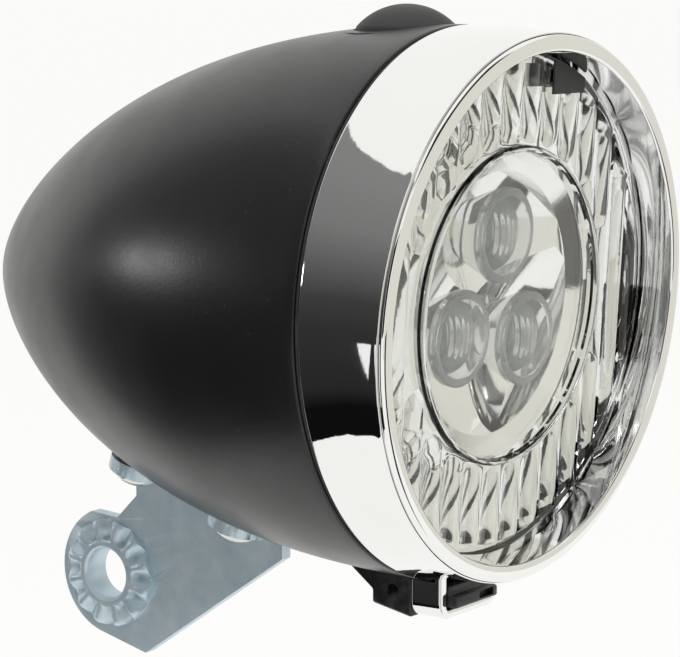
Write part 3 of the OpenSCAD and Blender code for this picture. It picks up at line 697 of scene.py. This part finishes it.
SHELL_BLACK = moulded("satin_black_shell", (0.008, 0.008, 0.0085), (0.012, 0.012, 0.012), 0.28, 0.36,
                      grain=1900.0, depth=0.012, swell_share=0.5)
CATCH_BLACK = moulded("catch_black", (0.008, 0.008, 0.009), (0.014, 0.014, 0.015), 0.38, 0.5)
RETAINER_BLACK = moulded("retainer_black", (0.018, 0.018, 0.019), (0.03, 0.03, 0.032), 0.5, 0.65)
SWITCH_BLACK = moulded("switch_black", (0.03, 0.03, 0.032), (0.05, 0.05, 0.054), 0.35, 0.5)
RUBBER_BLACK = moulded("black_rubber", (0.02, 0.02, 0.02), (0.034, 0.033, 0.033), 0.55, 0.75, grain=3200.0,
                       depth=0.03, rub=0.2)
PLUNGER_WHITE = moulded("plunger_white", (0.68, 0.68, 0.65), (0.78, 0.78, 0.75), 0.35, 0.5, rub=0.0)
CHROME = plated("chrome_on_plastic", (0.90, 0.90, 0.89), (0.86, 0.86, 0.85), 0.02, 0.06, 0.0022)
MIRROR = plated("bright_reflector", (0.93, 0.925, 0.91), (0.88, 0.875, 0.86), 0.05, 0.1, 0.006)
NICKEL = plated("nickel_plate", (0.78, 0.76, 0.72), (0.66, 0.64, 0.6), 0.1, 0.22, 0.01)
STEEL = plated("plain_steel", (0.62, 0.62, 0.63), (0.5, 0.5, 0.51), 0.25, 0.4, 0.02)
BRONZE = plated("spring_bronze", (0.72, 0.55, 0.3), (0.6, 0.44, 0.24), 0.2, 0.35, 0.015)
ZINC = zinc("zinc_plated_sheet")
LENS_CLEAR = clear("clear_lens", (0.95, 0.97, 0.965), 1.42)
COLLIMATOR_CLEAR = clear("clear_collimator", (0.96, 0.98, 0.98), 1.42, 0.84)
BOARD_GREEN = printed_board("green_board")
LED_YELLOW = phosphor("led_phosphor")
CELL_FOIL = cell_jacket("cell_jacket")


# Housing

def bullet(mouth, length, steps=64, tip_steps=10):
    """Half profile from the mouth to the axis: the flank, then a round tip that runs on smoothly."""
    join = length * (1 - (TIP_R / mouth) ** FLANK_POWER) ** (1 / NOSE_POWER)
    share = join / length
    angle = math.atan(length / mouth * FLANK_POWER / NOSE_POWER * share ** (1 - NOSE_POWER)
                      * (1 - share ** NOSE_POWER) ** (1 - 1 / FLANK_POWER))
    ball = TIP_R / math.sin(angle)
    centre = join - ball * math.cos(angle)
    flank = [join * math.sin(math.pi / 2 * i / steps) for i in range(1, steps + 1)]
    tip = [angle * (1 - i / tip_steps) for i in range(1, tip_steps + 1)]
    return ([(shell_radius(y, mouth, length), y) for y in flank]
            + [(ball * math.sin(a), centre + ball * math.cos(a)) for a in tip])


def flange_block(inset, z0, z1, place):
    """The plan of the bracket's flange with its ears, drawn in by an inset, between two heights."""
    reach = FLANGE_LEN / 2 - inset
    whole = box((inset - FLANGE_W, -reach, z0), (SHEET / 2 - inset, reach, z1))
    for side in (-1, 1):
        whole = carved(whole, post(EAR_R - inset, z0, z1, -RIVET_OUT, side * RIVET_SPAN / 2), "UNION")
    return tidied(whole, place)


def housing_shell():
    """The bullet, hollow, with the button's recess, the stem's hole and the seat for the flange."""
    outside = bullet(MOUTH_R, SHELL_LEN)
    inside = bullet(MOUTH_R - SHELL_WALL, SHELL_LEN - SHELL_WALL)
    mouth = arc(MOUTH_R - EDGE, EDGE, EDGE, 0, -90, 4) + [(MOUTH_R - SHELL_WALL, 0)]
    shell = turned(outside[::-1] + mouth + inside)
    hole = BUTTON_R + SLIP
    shell = carved(shell, post(hole, RECESS_Z - RECESS_SINK, MOUTH_R + PAST, y=BUTTON_BACK))
    stem = STEM_R + SLIP
    low, top = RECESS_Z - RECESS_WALL, CROWN - RECESS_DROP
    inner, outer = hole + RECESS_GAP, hole + RECESS_WALL
    cup = [(stem, low), (outer, low), (outer, top), (inner, top), (inner, RECESS_Z), (stem, RECESS_Z)]
    recess = turned(cup, FINE, closed=True, place=upright(0, BUTTON_BACK))
    flange = LAMP.inverted() @ FLANGE
    seat = flange_block(-SLIP, -PAD_H, 0, flange)
    pad = softened(flange_block(PAD_INSET, 0, PAD_H, flange), width=0.15)
    return joined(carved(shell, seat), pad, recess)


def housing_insides():
    """Fins that hold the carrier, ribs for the front's hooks and posts for the switch."""
    wall = MOUTH_R - FIN_SINK
    room = turned([(0, ROOM_FRONT), (wall, ROOM_FRONT)] + bullet(wall, SHELL_LEN - FIN_SINK))
    front, back = FIN_Y
    fins = []
    for angle in FIN_ANGLES:
        turn = Matrix.Rotation(math.radians(-angle), 4, "Y")
        fins.append(box((FIN_IN, front, -FIN_HALF), (MOUTH_R + FIN_SINK, back, FIN_HALF), turn))
        fins.append(box((STOP_IN, back, -FIN_HALF), (MOUTH_R + FIN_SINK, STOP_BACK, FIN_HALF), turn))
    front, back = RIB_Y
    for side in (-1, 1):
        x = RIB_X * side
        fins.append(box((x - RIB_HALF, front, RIB_LOW), (x + RIB_HALF, back, MOUTH_R)))
        fins.append(post(POST_R, POST_LOW, RECESS_Z - POST_GAP, POST_X * side, BUTTON_BACK))
    kept = [carved(fin, room.copy(), "INTERSECT") for fin in fins]
    room.free()
    return joined(*kept)


def catch_block():
    """The moulded block under the mouth that carries the catch, with a slot for its root."""
    y0, y1 = BLOCK_Y
    top = BLOCK_SINK - MOUTH_R
    outline = [(y0, top), (y0, BLOCK_LOW), (y1, BLOCK_LOW + BLOCK_RISE), (y1, BLOCK_LOW + BLOCK_HEEL),
               (y1 + RAMP, top)]
    block = softened(slab(outline, -BLOCK_W / 2, BLOCK_W / 2), width=0.35)
    half = ROOT_W / 2 + SLIP
    slot = box((-half, y0 - PAST, BLOCK_LOW - PAST), (half, PIN_Y + SLOT_BACK, SLOT_SINK - MOUTH_R))
    return carved(block, slot)


def seam_ring():
    """The thin gasket between the shell and the bezel, with round edges."""
    middle = -SEAM_GAP / 2
    outer = arc(MOUTH_R - SEAM_OUT, middle, SEAM_ROUND, 90, -90, 6)
    inner = arc(MOUTH_R - SEAM_IN, middle, SEAM_ROUND, 270, 90, 6)
    return turned(outer + inner, closed=True)


piece("shell", joined(housing_shell(), housing_insides(), catch_block()), SHELL_BLACK, "body",
      "housing")
piece("seam_ring", seam_ring(), RUBBER_BLACK, "body", "seam_gasket")


# Bezel, catch and button

def bezel():
    """The plated ring: a wall, a rolled lip, the reveal, the lens seat and the tube behind it."""
    inner = MOUTH_R - BEZEL_WALL
    rear = [(inner, -SEAM_GAP)] + arc(MOUTH_R - BEZEL_EDGE, -SEAM_GAP - BEZEL_EDGE, BEZEL_EDGE, 90, 0, 6)
    deepest = BULGE_DEPTHS[0]
    bulge = [(FRONT_R + BULGE_SLOPE * d - BULGE_CURVE * (deepest - d) ** 2, d) for d in BULGE_DEPTHS]
    shoulder = arc(bulge[-1][0] - SHOULDER, SHOULDER, SHOULDER, 0, -90, 4)
    lip = arc(LIP_R - LIP_ROUND, LIP_ROUND - LIP_OUT, LIP_ROUND, 0, -90)
    brow = arc(OPENING_R + BROW, BROW - LIP_OUT, BROW, 270, 180, 4)
    # Small steps keep the reveal and the seat clear of the lens and its gasket
    reveal = [(SEAT_R, LENS_D - 0.04), (SEAT_R + 0.25, LENS_D - 0.06), (SEAT_R + 0.3, SEAT_D)]
    tube = [(LENS_R + LENS_ROOM, SEAT_D - 0.02), (LENS_R + LENS_ROOM, TUBE_D), (inner, TUBE_D)]
    front = LAMP.inverted() @ RAKED
    stations = [(Matrix.Identity(4), r, d) for r, d in rear]
    stations += [(front, r, d) for r, d in bulge + shoulder + [GROOVE] + lip + brow + reveal + tube]
    bm = bmesh.new()
    facing = Matrix.Rotation(math.radians(-90), 4, "X")
    bridged(bm, [ring(bm, r, place @ Matrix.Translation((0, d, 0)) @ facing) for place, r, d in stations])
    cut = bmesh.ops.bisect_plane(bm, geom=bm.verts[:] + bm.edges[:] + bm.faces[:], dist=1e-5,
                                 plane_co=(0, -SEAM_GAP, MOUTH_R - TILT_BEVEL), plane_no=(0, 1, 1),
                                 clear_outer=True)["geom_cut"]
    bmesh.ops.holes_fill(bm, edges=edges_of(cut), sides=0)
    return tidied(bm)


def stirrup():
    """The bright loop under the bezel that the catch's tongue passes through."""
    low = -MOUTH_R - STIRRUP_DROP
    half = STIRRUP_W / 2
    inside = half - STIRRUP_WALL
    window = low + STIRRUP_BAR
    small = STIRRUP_INNER_ROUND
    right = arc(half - STIRRUP_ROUND, low + STIRRUP_ROUND, STIRRUP_ROUND, -90, 0)
    right += [(half, STIRRUP_TOP), (inside, STIRRUP_TOP)]
    right += arc(inside - small, window + small, small, 0, -90, 4)
    outline = right + [(-x, z) for x, z in right[::-1]]
    bm = drawn_out([(x, -STIRRUP_AHEAD, z) for x, z in outline], (0, STIRRUP_AHEAD + STIRRUP_BACK, 0))
    softened(bm, width=0.22, angle=50)
    bm = carved(bm, rod(MOUTH_R - STIRRUP_SINK, -PAST, PAST))
    return carved(bm, rod(MOUTH_R + SLIP, -SEAM_GAP, PAST))


def tongue():
    """The catch's tongue: a bar with a thumb ledge in front and a round root on the pin."""
    low = -MOUTH_R - STIRRUP_DROP + STIRRUP_BAR + SLIP
    middle = low + TONGUE_T / 2
    top = low + TONGUE_T
    half = TONGUE_W / 2
    tip = -TONGUE_AHEAD - LEDGE
    end = STIRRUP_BACK + SLIP
    profile = [(tip, low), (end, low), (end, top), (-TONGUE_AHEAD, top), (-TONGUE_AHEAD, middle + LEDGE_RISE),
               (tip, middle)]
    bar = softened(slab(profile, -half, half), width=0.25)
    pocket = box((half - POCKET_X[0], tip - PAST, low + POCKET_Z[0]),
                 (half - POCKET_X[1], tip + POCKET_D, low + POCKET_Z[1]))
    eye = arc(PIN_Y, middle, TONGUE_T / 2, 90, -90, 16)
    root = slab(eye + [(0, low), (0, top)], -ROOT_W / 2, ROOT_W / 2)
    return joined(carved(bar, pocket), softened(root, width=0.15, segments=2, angle=60))


def button():
    """The domed rubber button with its skirt and stem."""
    rise = BUTTON_RISE + BUTTON_DIP
    ball = (BUTTON_R ** 2 + rise ** 2) / (2 * rise)
    start = math.degrees(math.acos((BUTTON_R - BUTTON_INSET) / ball))
    dome = [(BUTTON_R, CROWN - BUTTON_SIDE)] + arc(0, CROWN + BUTTON_RISE - ball, ball, start, 90, 28)
    dome[-1] = (0, dome[-1][1])
    skirt = CROWN - SKIRT
    stem = [(0, skirt - STEM_LEN), (STEM_R, skirt - STEM_LEN), (STEM_R, skirt)]
    edge = [(BUTTON_R - BUTTON_EDGE, skirt), (BUTTON_R, skirt + BUTTON_EDGE)]
    return turned(stem + edge + dome, FINE, place=upright(0, BUTTON_BACK))


piece("bezel_ring", bezel(), CHROME, "front", "bezel", crease=40)
piece("stirrup", stirrup(), CHROME, "front", "catch_stirrup")
piece("tongue", tongue(), CATCH_BLACK, "catch", "catch_tongue")
piece("button_dome", button(), RUBBER_BLACK, "button", "button_cap")


# Lens, reflector and LEDs

def flute(x, start, end, side):
    """An upright bar of glass with a round inner end, on the upper (1) or lower (-1) half."""
    r = (FLUTE_W ** 2 / 4 + FLUTE_H ** 2) / (2 * FLUTE_H)
    middle = LENS_D - FLUTE_H + r
    widest = math.acos((middle - LENS_D - FLUTE_SUNK) / r)
    angles = [widest * i / FLUTE_STEPS for i in range(FLUTE_STEPS + 1)]
    bm = bmesh.new()
    half = wire(bm, [(x + r * math.sin(a), middle - r * math.cos(a), start) for a in angles])
    bmesh.ops.spin(bm, geom=half, cent=(x, 0, start), axis=(0, 1, 0), angle=math.pi * side, steps=18)
    bmesh.ops.remove_doubles(bm, verts=bm.verts, dist=1e-4)
    sides = [e for e in bm.edges if e.is_boundary and all(abs(v.co.z - start) < 1e-4 for v in e.verts)]
    grown = bmesh.ops.extrude_edge_only(bm, edges=sides)["geom"]
    bmesh.ops.translate(bm, vec=(0, 0, end - start), verts=verts_of(grown))
    bmesh.ops.contextual_create(bm, geom=edges_of(grown))
    bmesh.ops.holes_fill(bm, edges=[e for e in bm.edges if e.is_boundary], sides=0)
    return tidied(bm)


def lens():
    """The clear disc with a plain window, a bead round it and upright flutes outside the bead."""
    bead = arc(WINDOW_R, LENS_D, BEAD_W / 2, 180, 360, 10)
    front = [(r, LENS_D + (d - LENS_D) * BEAD_H / (BEAD_W / 2)) for r, d in bead]
    back = LENS_BACK - LENS_GAP
    edge = [(LENS_R - LENS_EDGE, LENS_D), (LENS_R, LENS_D + LENS_EDGE), (LENS_R, back), (0, back)]
    disc = turned([(0, LENS_D)] + front + edge)
    clear_of_bead = WINDOW_R + BEAD_W / 2 + SLIP + FLUTE_W / 2
    reach = int(FLUTE_OUT / PITCH + 1 - LAST_FLUTE)
    bars = []
    for x in (PITCH * (i + 0.5) for i in range(-reach, reach)):
        if abs(x) < clear_of_bead:
            start = math.sqrt(clear_of_bead ** 2 - x ** 2)
            bars += [flute(x, start * side, LENS_R * side, side) for side in (-1, 1)]
        else:
            bars.append(flute(x, -LENS_R, LENS_R, 1))
    trimmed = carved(joined(*bars), rod(FLUTE_OUT, 0, LENS_D + JUST_PAST), "INTERSECT")
    return carved(disc, trimmed, "UNION")


def gasket():
    """The lens's thin gasket, and the dark tab that hangs from it over the flutes, which is painted shade: it
    stands in for a dark reflection in the flutes.
    """
    low, high = SEAT_D + GASKET_GAP, LENS_D - GASKET_GAP
    flat = turned([(GASKET_R, low), (LENS_R, low), (LENS_R, high), (GASKET_R, high)], closed=True)
    back = LENS_D - FLUTE_H - SHADE_TAB_GAP
    # Painted shade: this dark tab stands in for a dark reflection in the flutes
    shade_tab = carved(rod(SEAT_R - SLIP, back - SHADE_TAB_T, back),
                 box((SHADE_TAB_X - SHADE_TAB_W / 2, -PAST, SHADE_TAB_LOW), (SHADE_TAB_X + SHADE_TAB_W / 2, PAST, LENS_R)), "INTERSECT")
    return joined(flat, softened(shade_tab, width=0.08, segments=2))


def led_axis(angle):
    """Place of an LED's axis within the front."""
    a = math.radians(angle)
    return Matrix.Translation((LED_R * math.cos(a), 0, LED_R * math.sin(a)))


def reflector():
    """The bright reflector: a flat rim, a slope, a bevelled well and three cups."""
    rim = LENS_R - RIM_W
    rim_back = LENS_BACK + RIM_T
    front = [(0, WELL_D), (WELL_R, WELL_D), (BEVEL_R, BOWL_D), (STEP_R, BOWL_D),
             (SLOPE_R, LENS_BACK + SLOPE_FALL), (rim, LENS_BACK), (LENS_R, LENS_BACK)]
    back = [(LENS_R, rim_back), (rim, rim_back), (SLOPE_BACK_R, rim_back + SLOPE_FALL),
            (BOWL_BACK_R, BOWL_BACK), (0, BOWL_BACK)]
    bowl = turned(front + back)
    top = CUP_FLOOR - BOWL_D + CUP_OVER
    depths = [top * (i / CUP_STEPS) ** 2 for i in range(CUP_STEPS + 1)]
    curve = [(math.sqrt(4 * CUP_FOCUS * d), CUP_FLOOR - d) for d in depths] + [(0, CUP_FLOOR - top)]
    for angle in LED_ANGLES.values():
        axis = led_axis(angle)
        well = rod(WELL_R, BOWL_D - 2 * JUST_PAST, BOWL_BACK)
        bowl = carved(bowl, carved(turned(curve, FINE, place=axis), well, "INTERSECT"))
        foot = rod(FOOT_R + FOOT_GAP, BOWL_D, BOWL_BACK + JUST_PAST, steps=64, place=axis)
        bowl = carved(bowl, foot)
    return bowl


def collimator(angle):
    """A clear collimator: a ridged eyelet in a groove, a rim, a cone and a foot over the chip."""
    domed = [(r, COLLIMATOR_D + 2 * EYELET_R - math.sqrt(4 * EYELET_R ** 2 - r ** 2))
             for r in (EYELET_R * i / EYELET_STEPS for i in range(EYELET_STEPS + 1))]
    groove = COLLIMATOR_D + EYELET_GROOVE
    rim = [(EYELET_R + 0.4, groove), (EYELET_R + 0.8, COLLIMATOR_D + 0.1), (EYELET_R + 0.95, COLLIMATOR_D),
           (COLLIMATOR_R - COLLIMATOR_EDGE, COLLIMATOR_D), (COLLIMATOR_R, COLLIMATOR_D + COLLIMATOR_EDGE),
           (COLLIMATOR_R, COLLIMATOR_D + COLLIMATOR_SIDE)]
    room = BOARD_D - CHIP_ROOM_H
    foot = [(FOOT_R, BOWL_BACK - FOOT_H), (FOOT_R, BOWL_BACK), (FOOT_R + FOOT_LIP, BOWL_BACK),
            (FOOT_R + FOOT_LIP, BOARD_D), (CHIP_ROOM_R, BOARD_D), (CHIP_ROOM_R, room), (0, room)]
    bm = turned(domed + rim + foot, FINE)
    for v in bm.verts:
        spread = math.hypot(v.co.x, v.co.z)
        if spread < EYELET_R - EYELET_EDGE and v.co.y < groove:
            v.co.y += RIDGE_H * (1 - spread / EYELET_R) ** 0.5 * math.cos(math.tau * v.co.x / RIDGE_PITCH)
    return moved(bm, led_axis(angle))


piece("lens_disc", lens(), LENS_CLEAR, "front", "lens", RAKED, crease=28)
piece("gasket_ring", gasket(), RUBBER_BLACK, "front", "lens_gasket", RAKED)
piece("reflector_bowl", reflector(), MIRROR, "front", "reflector", RAKED, crease=20)
for side, angle in LED_ANGLES.items():
    piece("collimator_" + side + "_clear", collimator(angle), COLLIMATOR_CLEAR, "front",
          "collimator_" + side, RAKED)


# Bracket and rivets

def upright_sheet():
    """The bracket's upright sheet with its round eye and the notch behind it."""
    slope = math.tan(math.radians(SLOPE))
    reach = FLANGE_LEN / 2 * math.cos(math.radians(SLOPE))
    front, rear = -FLANGE_AHEAD - reach, -FLANGE_AHEAD + reach
    seat_front, seat_rear = SEAT_UP - slope * reach, SEAT_UP + slope * reach
    low = Vector(LOW_CORNER)
    tangent = math.degrees(math.atan2(low.y, low.x) + math.acos(EYE_R / low.length))
    eye = arc(0, 0, EYE_R, tangent, EYE_END, 72)
    notch = math.radians(NOTCH_ANGLE)
    inner = EYE_R - NOTCH
    outline = [(rear, REAR_STEP), (rear, seat_rear), (front, seat_front), (front, seat_front - FRONT_DROP),
               tuple(low)] + eye + [(inner * math.cos(notch), inner * math.sin(notch))]
    return slab(outline, -SHEET / 2, SHEET / 2)


def toothed_boss():
    """The eye's boss: rounded teeth round a plain ring on the near face, and a collar on the far face."""
    face = -SHEET / 2 - BOSS_H
    end = SHEET / 2 + COLLAR_H
    collar = [(BOSS_R, COLLAR_START), (COLLAR_R, COLLAR_START), (COLLAR_R, end - CHAMFER),
              (COLLAR_R - CHAMFER, end)]
    bore = [(BOLT_R + CHAMFER, end), (BOLT_R, end - CHAMFER), (BOLT_R, face + 0.45),
            (BOLT_R + 0.12, face + 0.2)]
    plain = [(BOLT_R + 0.4, face), (TOOTH_IN - 0.5, face), (TOOTH_IN - 0.2, face + 0.1)]
    toothed = [(TOOTH_IN + 0.2, face), (TOOTH_IN + 0.7, face - 0.06), (BOSS_R - 0.7, face - 0.06),
               (BOSS_R - 0.3, face + 0.12), (BOSS_R, face + TOOTH_FADE)]
    steps = len(TOOTH_SHAPE)
    facing = Matrix.Rotation(math.radians(-90), 4, "Y")
    bm = bmesh.new()
    rings = []
    for r, x in collar + bore + plain + toothed:
        place = Matrix.Translation((x, 0, 0)) @ facing
        rings.append(bmesh.ops.create_circle(bm, segments=TEETH * steps, radius=r, matrix=place)["verts"])
    for verts, (r, _) in zip(rings[-len(toothed):], toothed):
        depth = TOOTH_DEPTH if r < BOSS_R else TOOTH_DEPTH - TOOTH_FADE
        for k, v in enumerate(verts):
            v.co.x += depth * TOOTH_SHAPE[k % steps]
    return bridged(bm, rings)


def bracket():
    """The bent zinc-plated sheet: upright, bend, flange and toothed eye."""
    sheet = carved(upright_sheet(), flange_block(0, -SHEET, 0, FLANGE), "UNION")
    far = BEND_BLANK
    bend = carved(box((0, -far, 0), (far, far, far)), rod(BEND_R, -far - PAST, far + PAST, SMALL))
    sheet = carved(sheet, moved(bend, FLANGE @ Matrix.Translation((SHEET / 2 - BEND_R, 0, -BEND_R))))
    sheet = carved(sheet, rod(BORE_R, -PAST, PAST, SMALL, Matrix.Rotation(math.radians(90), 4, "Z")))
    return joined(softened(sheet, width=0.18, segments=2, angle=45), toothed_boss())


def rivets():
    """Two round-headed rivets through the flange."""
    dome = [(RIVET_HEAD_R * math.sin(a), -SHEET - RIVET_HEAD_H * math.cos(a))
            for a in (math.pi / 2 * i / RIVET_STEPS for i in range(RIVET_STEPS + 1))]
    shank = [(RIVET_R, -SHEET), (RIVET_R, RIVET_TOP), (RIVET_R + UPSET_WIDE, RIVET_TOP),
             (RIVET_R + UPSET_NARROW, RIVET_TOP + UPSET_H), (0, RIVET_TOP + UPSET_H)]
    return joined(*[turned(dome + shank, SMALL, place=upright(-RIVET_OUT, side * RIVET_SPAN / 2))
                    for side in (-1, 1)])


piece("bracket_sheet", bracket(), ZINC, "body", "bracket", Matrix.Identity(4))
piece("rivet_pair", rivets(), NICKEL, "body", "rivets", FLANGE)


# Finishes of the inner pieces that stay as they are in the frame
INNER = {
    RETAINER_BLACK: ["front_retainer", "battery_carrier"],
    SWITCH_BLACK: ["switch_body"],
    PLUNGER_WHITE: ["switch_plunger"],
    BOARD_GREEN: ["led_board", "switch_board"],
    LED_YELLOW: ["led_chips"],
    CELL_FOIL: ["cell_top", "cell_left", "cell_right"],
    BRONZE: ["contact_leaves"],
    NICKEL: ["front_terminals", "rear_terminals", "rivet_washers"],
    STEEL: ["board_screws", "switch_screws", "catch_pin"],
}
for material, nodes in INNER.items():
    for name in nodes:
        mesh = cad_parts[name].data
        mesh.materials.clear()
        mesh.materials.append(material)


# Floor, light and camera, with places and sizes in metres

MIDDLE = Vector((0, -0.06, 0.04))
FLOOR_Z = -0.12
FLOOR_HALF = 80
FLOOR_WHITE = 0.92
SOFT_LIGHT = 0.55
GREY_REACH = math.radians(50)
GREY_STOPS = [(0.0, 0.004), (0.2, 0.005), (0.26, 0.022), (0.45, 0.032), (0.55, 0.05), (0.66, 0.12),
              (0.78, 0.2), (0.95, 0.24)]
GREY_PROFILE = [(0.185, -0.155), (0.25, -0.14), (0.5, -0.02), (0.55, 0.16), (0.44, 0.53)]
DARK_STOPS = [(0.3, (0.012, 0.01, 0.01)), (0.7, (0.03, 0.025, 0.022))]
DARK_HALF = 0.09
EYE = Vector((-252.6, -226.8, 80.3)) * MM
LOOK = Matrix(((0.5975, 0.1092, -0.7944), (-0.8019, 0.0814, -0.5919), (0.0, 0.9907, 0.1362)))
FOCAL_LENGTH = 132.35


def white_to_the_eye(tree, shade, share=1.0):
    """A share of white for rays from the camera, metal or glass, and another shade for all the rest."""
    rays = add(tree, "ShaderNodeLightPath").outputs
    seen = calc(tree, "MAXIMUM", rays["Is Camera Ray"], rays["Is Glossy Ray"])
    seen = calc(tree, "MAXIMUM", seen, rays["Is Transmission Ray"])
    part = calc(tree, "MULTIPLY", seen, share)
    white = add(tree, "ShaderNodeEmission", {"Color": (1.0, 0.995, 0.98, 1)}).outputs[0]
    return add(tree, "ShaderNodeMixShader", {0: part, 1: shade, 2: white}).outputs[0]


def floor():
    """A wide pale floor well below the lamp."""
    bm = bmesh.new()
    level = Matrix.Translation((0, 0, FLOOR_Z))
    bmesh.ops.create_grid(bm, x_segments=1, y_segments=1, size=FLOOR_HALF, matrix=level)
    material, tree, shader, where = finish("pale_floor", Roughness=0.9)
    tone = mixed(tree, spots(tree, where, 6, 2), (0.82, 0.82, 0.81), (0.86, 0.86, 0.85))
    feed(tree, shader, Base_Color=tone)
    shade = white_to_the_eye(tree, shader.outputs[0], FLOOR_WHITE)
    tree.links.new(shade, tree.nodes["Material Output"].inputs["Surface"])
    mesh = as_mesh("floor", bm)
    mesh.materials.append(material)
    obj = into_scene("floor", mesh)


def card(name, bm, build):
    """A card that only bright metal, plastic and glass see."""
    material, tree, _, where = finish(name)
    glow = add(tree, "ShaderNodeEmission", {"Color": build(tree, where)})
    tree.links.new(glow.outputs[0], tree.nodes["Material Output"].inputs["Surface"])
    mesh = as_mesh(name, bm)
    mesh.materials.append(material)
    obj = into_scene(name, mesh)
    obj.visible_camera = False
    obj.visible_diffuse = False
    obj.visible_shadow = False


def spun_card(name, profile, start, sweep, build):
    """A card of (radius, height) points, turned about an upright axis through the lamp from a bearing."""
    bm = bmesh.new()
    a = math.radians(start)
    chain = wire(bm, [(r * math.cos(a), r * math.sin(a), z) for r, z in profile])
    bmesh.ops.spin(bm, geom=chain, cent=(0, 0, 0), axis=(0, 0, 1), angle=math.radians(sweep), steps=72)
    bmesh.ops.translate(bm, vec=MIDDLE, verts=bm.verts)
    card(name, bm, build)


def grey_card(start, sweep):
    """A bowl of a card behind the lamp's left side: black at its foot, then dark, and grey at its top."""
    def shade(tree, where):
        offset = add(tree, "ShaderNodeVectorMath", {0: where, 1: MIDDLE}, operation="SUBTRACT").outputs[0]
        parts = add(tree, "ShaderNodeSeparateXYZ", {"Vector": offset}).outputs
        flat = add(tree, "ShaderNodeCombineXYZ", {"X": parts["X"], "Y": parts["Y"]}).outputs[0]
        away = add(tree, "ShaderNodeVectorMath", {0: flat}, operation="LENGTH").outputs["Value"]
        rise = calc(tree, "ARCTAN2", parts["Z"], away)
        return ramp(tree, mapped(tree, rise, -GREY_REACH, GREY_REACH), GREY_STOPS)
    spun_card("grey_card", GREY_PROFILE, start, sweep, shade)


def plain_card(name, profile, start, sweep, colour):
    """A card of nearly one colour."""
    def shade(tree, where):
        return mixed(tree, spots(tree, where, 8, 2), colour, tuple(0.94 * c for c in colour))
    spun_card(name, profile, start, sweep, shade)


def dark_card(eye):
    """A dark card round the camera."""
    bm = bmesh.new()
    turn = (MIDDLE - eye).to_track_quat("Z", "Y").to_matrix().to_4x4()
    place = Matrix.Translation(eye) @ turn
    bmesh.ops.create_grid(bm, x_segments=1, y_segments=1, size=DARK_HALF, matrix=place)

    def shade(tree, where):
        return ramp(tree, spots(tree, where, 20, 2), DARK_STOPS)
    card("dark_card", bm, shade)


def lamp_panel(name, place, target, size, power):
    """A soft rectangular lamp that faces a point."""
    data = bpy.data.lights.new(name, "AREA")
    data.shape = "RECTANGLE"
    data.size, data.size_y = size
    data.energy = power
    obj = into_scene(name, data)
    obj.location = place
    obj.rotation_mode = "QUATERNION"
    obj.rotation_quaternion = (Vector(target) - Vector(place)).to_track_quat("-Z", "Y")
    return obj


def studio_world():
    """Soft even light from all round, and white where the camera, bright metal or glass looks."""
    world = bpy.data.worlds.new("studio")
    world.use_nodes = True
    tree = world.node_tree
    soft = tree.nodes["Background"]
    soft.inputs["Color"].default_value = (1, 1, 1, 1)
    soft.inputs["Strength"].default_value = SOFT_LIGHT
    shade = white_to_the_eye(tree, soft.outputs[0])
    tree.links.new(shade, tree.nodes["World Output"].inputs["Surface"])
    bpy.context.scene.world = world


def camera():
    """A camera at the photograph's angle."""
    data = bpy.data.cameras.new("camera")
    data.lens = FOCAL_LENGTH
    data.sensor_width = 36
    data.clip_start = 0.01
    obj = into_scene("camera", data)
    obj.matrix_world = Matrix.Translation(EYE) @ LOOK.to_4x4()
    bpy.context.scene.camera = obj


floor()
grey_card(start=98, sweep=96)
plain_card("cream_card", [(0.5, -0.15), (0.55, 0.1), (0.5, 0.42)], start=-118, sweep=130,
           colour=(0.80, 0.785, 0.72))
plain_card("window_card", [(0.15, -0.085), (0.15, -0.02)], start=161, sweep=14, colour=(0.98, 0.98, 0.97))
plain_card("low_black_card", [(0.18, -0.155), (0.38, -0.08)], start=-90, sweep=34, colour=(0.012, 0.01, 0.01))
plain_card("high_dark_card", [(0.3, 0.27), (0.16, 0.4)], start=-150, sweep=110, colour=(0.02, 0.02, 0.02))
dark_card(EYE)
overhead = lamp_panel("overhead", (-0.1, -0.15, 0.75), target=(0, -0.03, 0.04), size=(0.7, 0.7), power=5)
overhead.visible_glossy = False
fill = lamp_panel("fill", (0.55, -0.6, 0.25), target=(0, -0.05, 0.04), size=(0.5, 0.6), power=2.5)
fill.visible_glossy = False
lamp_panel("sheen", (-0.195, 0.272, 0.097), target=(-0.032, -0.034, 0.048), size=(0.035, 0.035), power=0.1)
studio_world()
camera()
bpy.context.scene.view_settings.view_transform = "Standard"
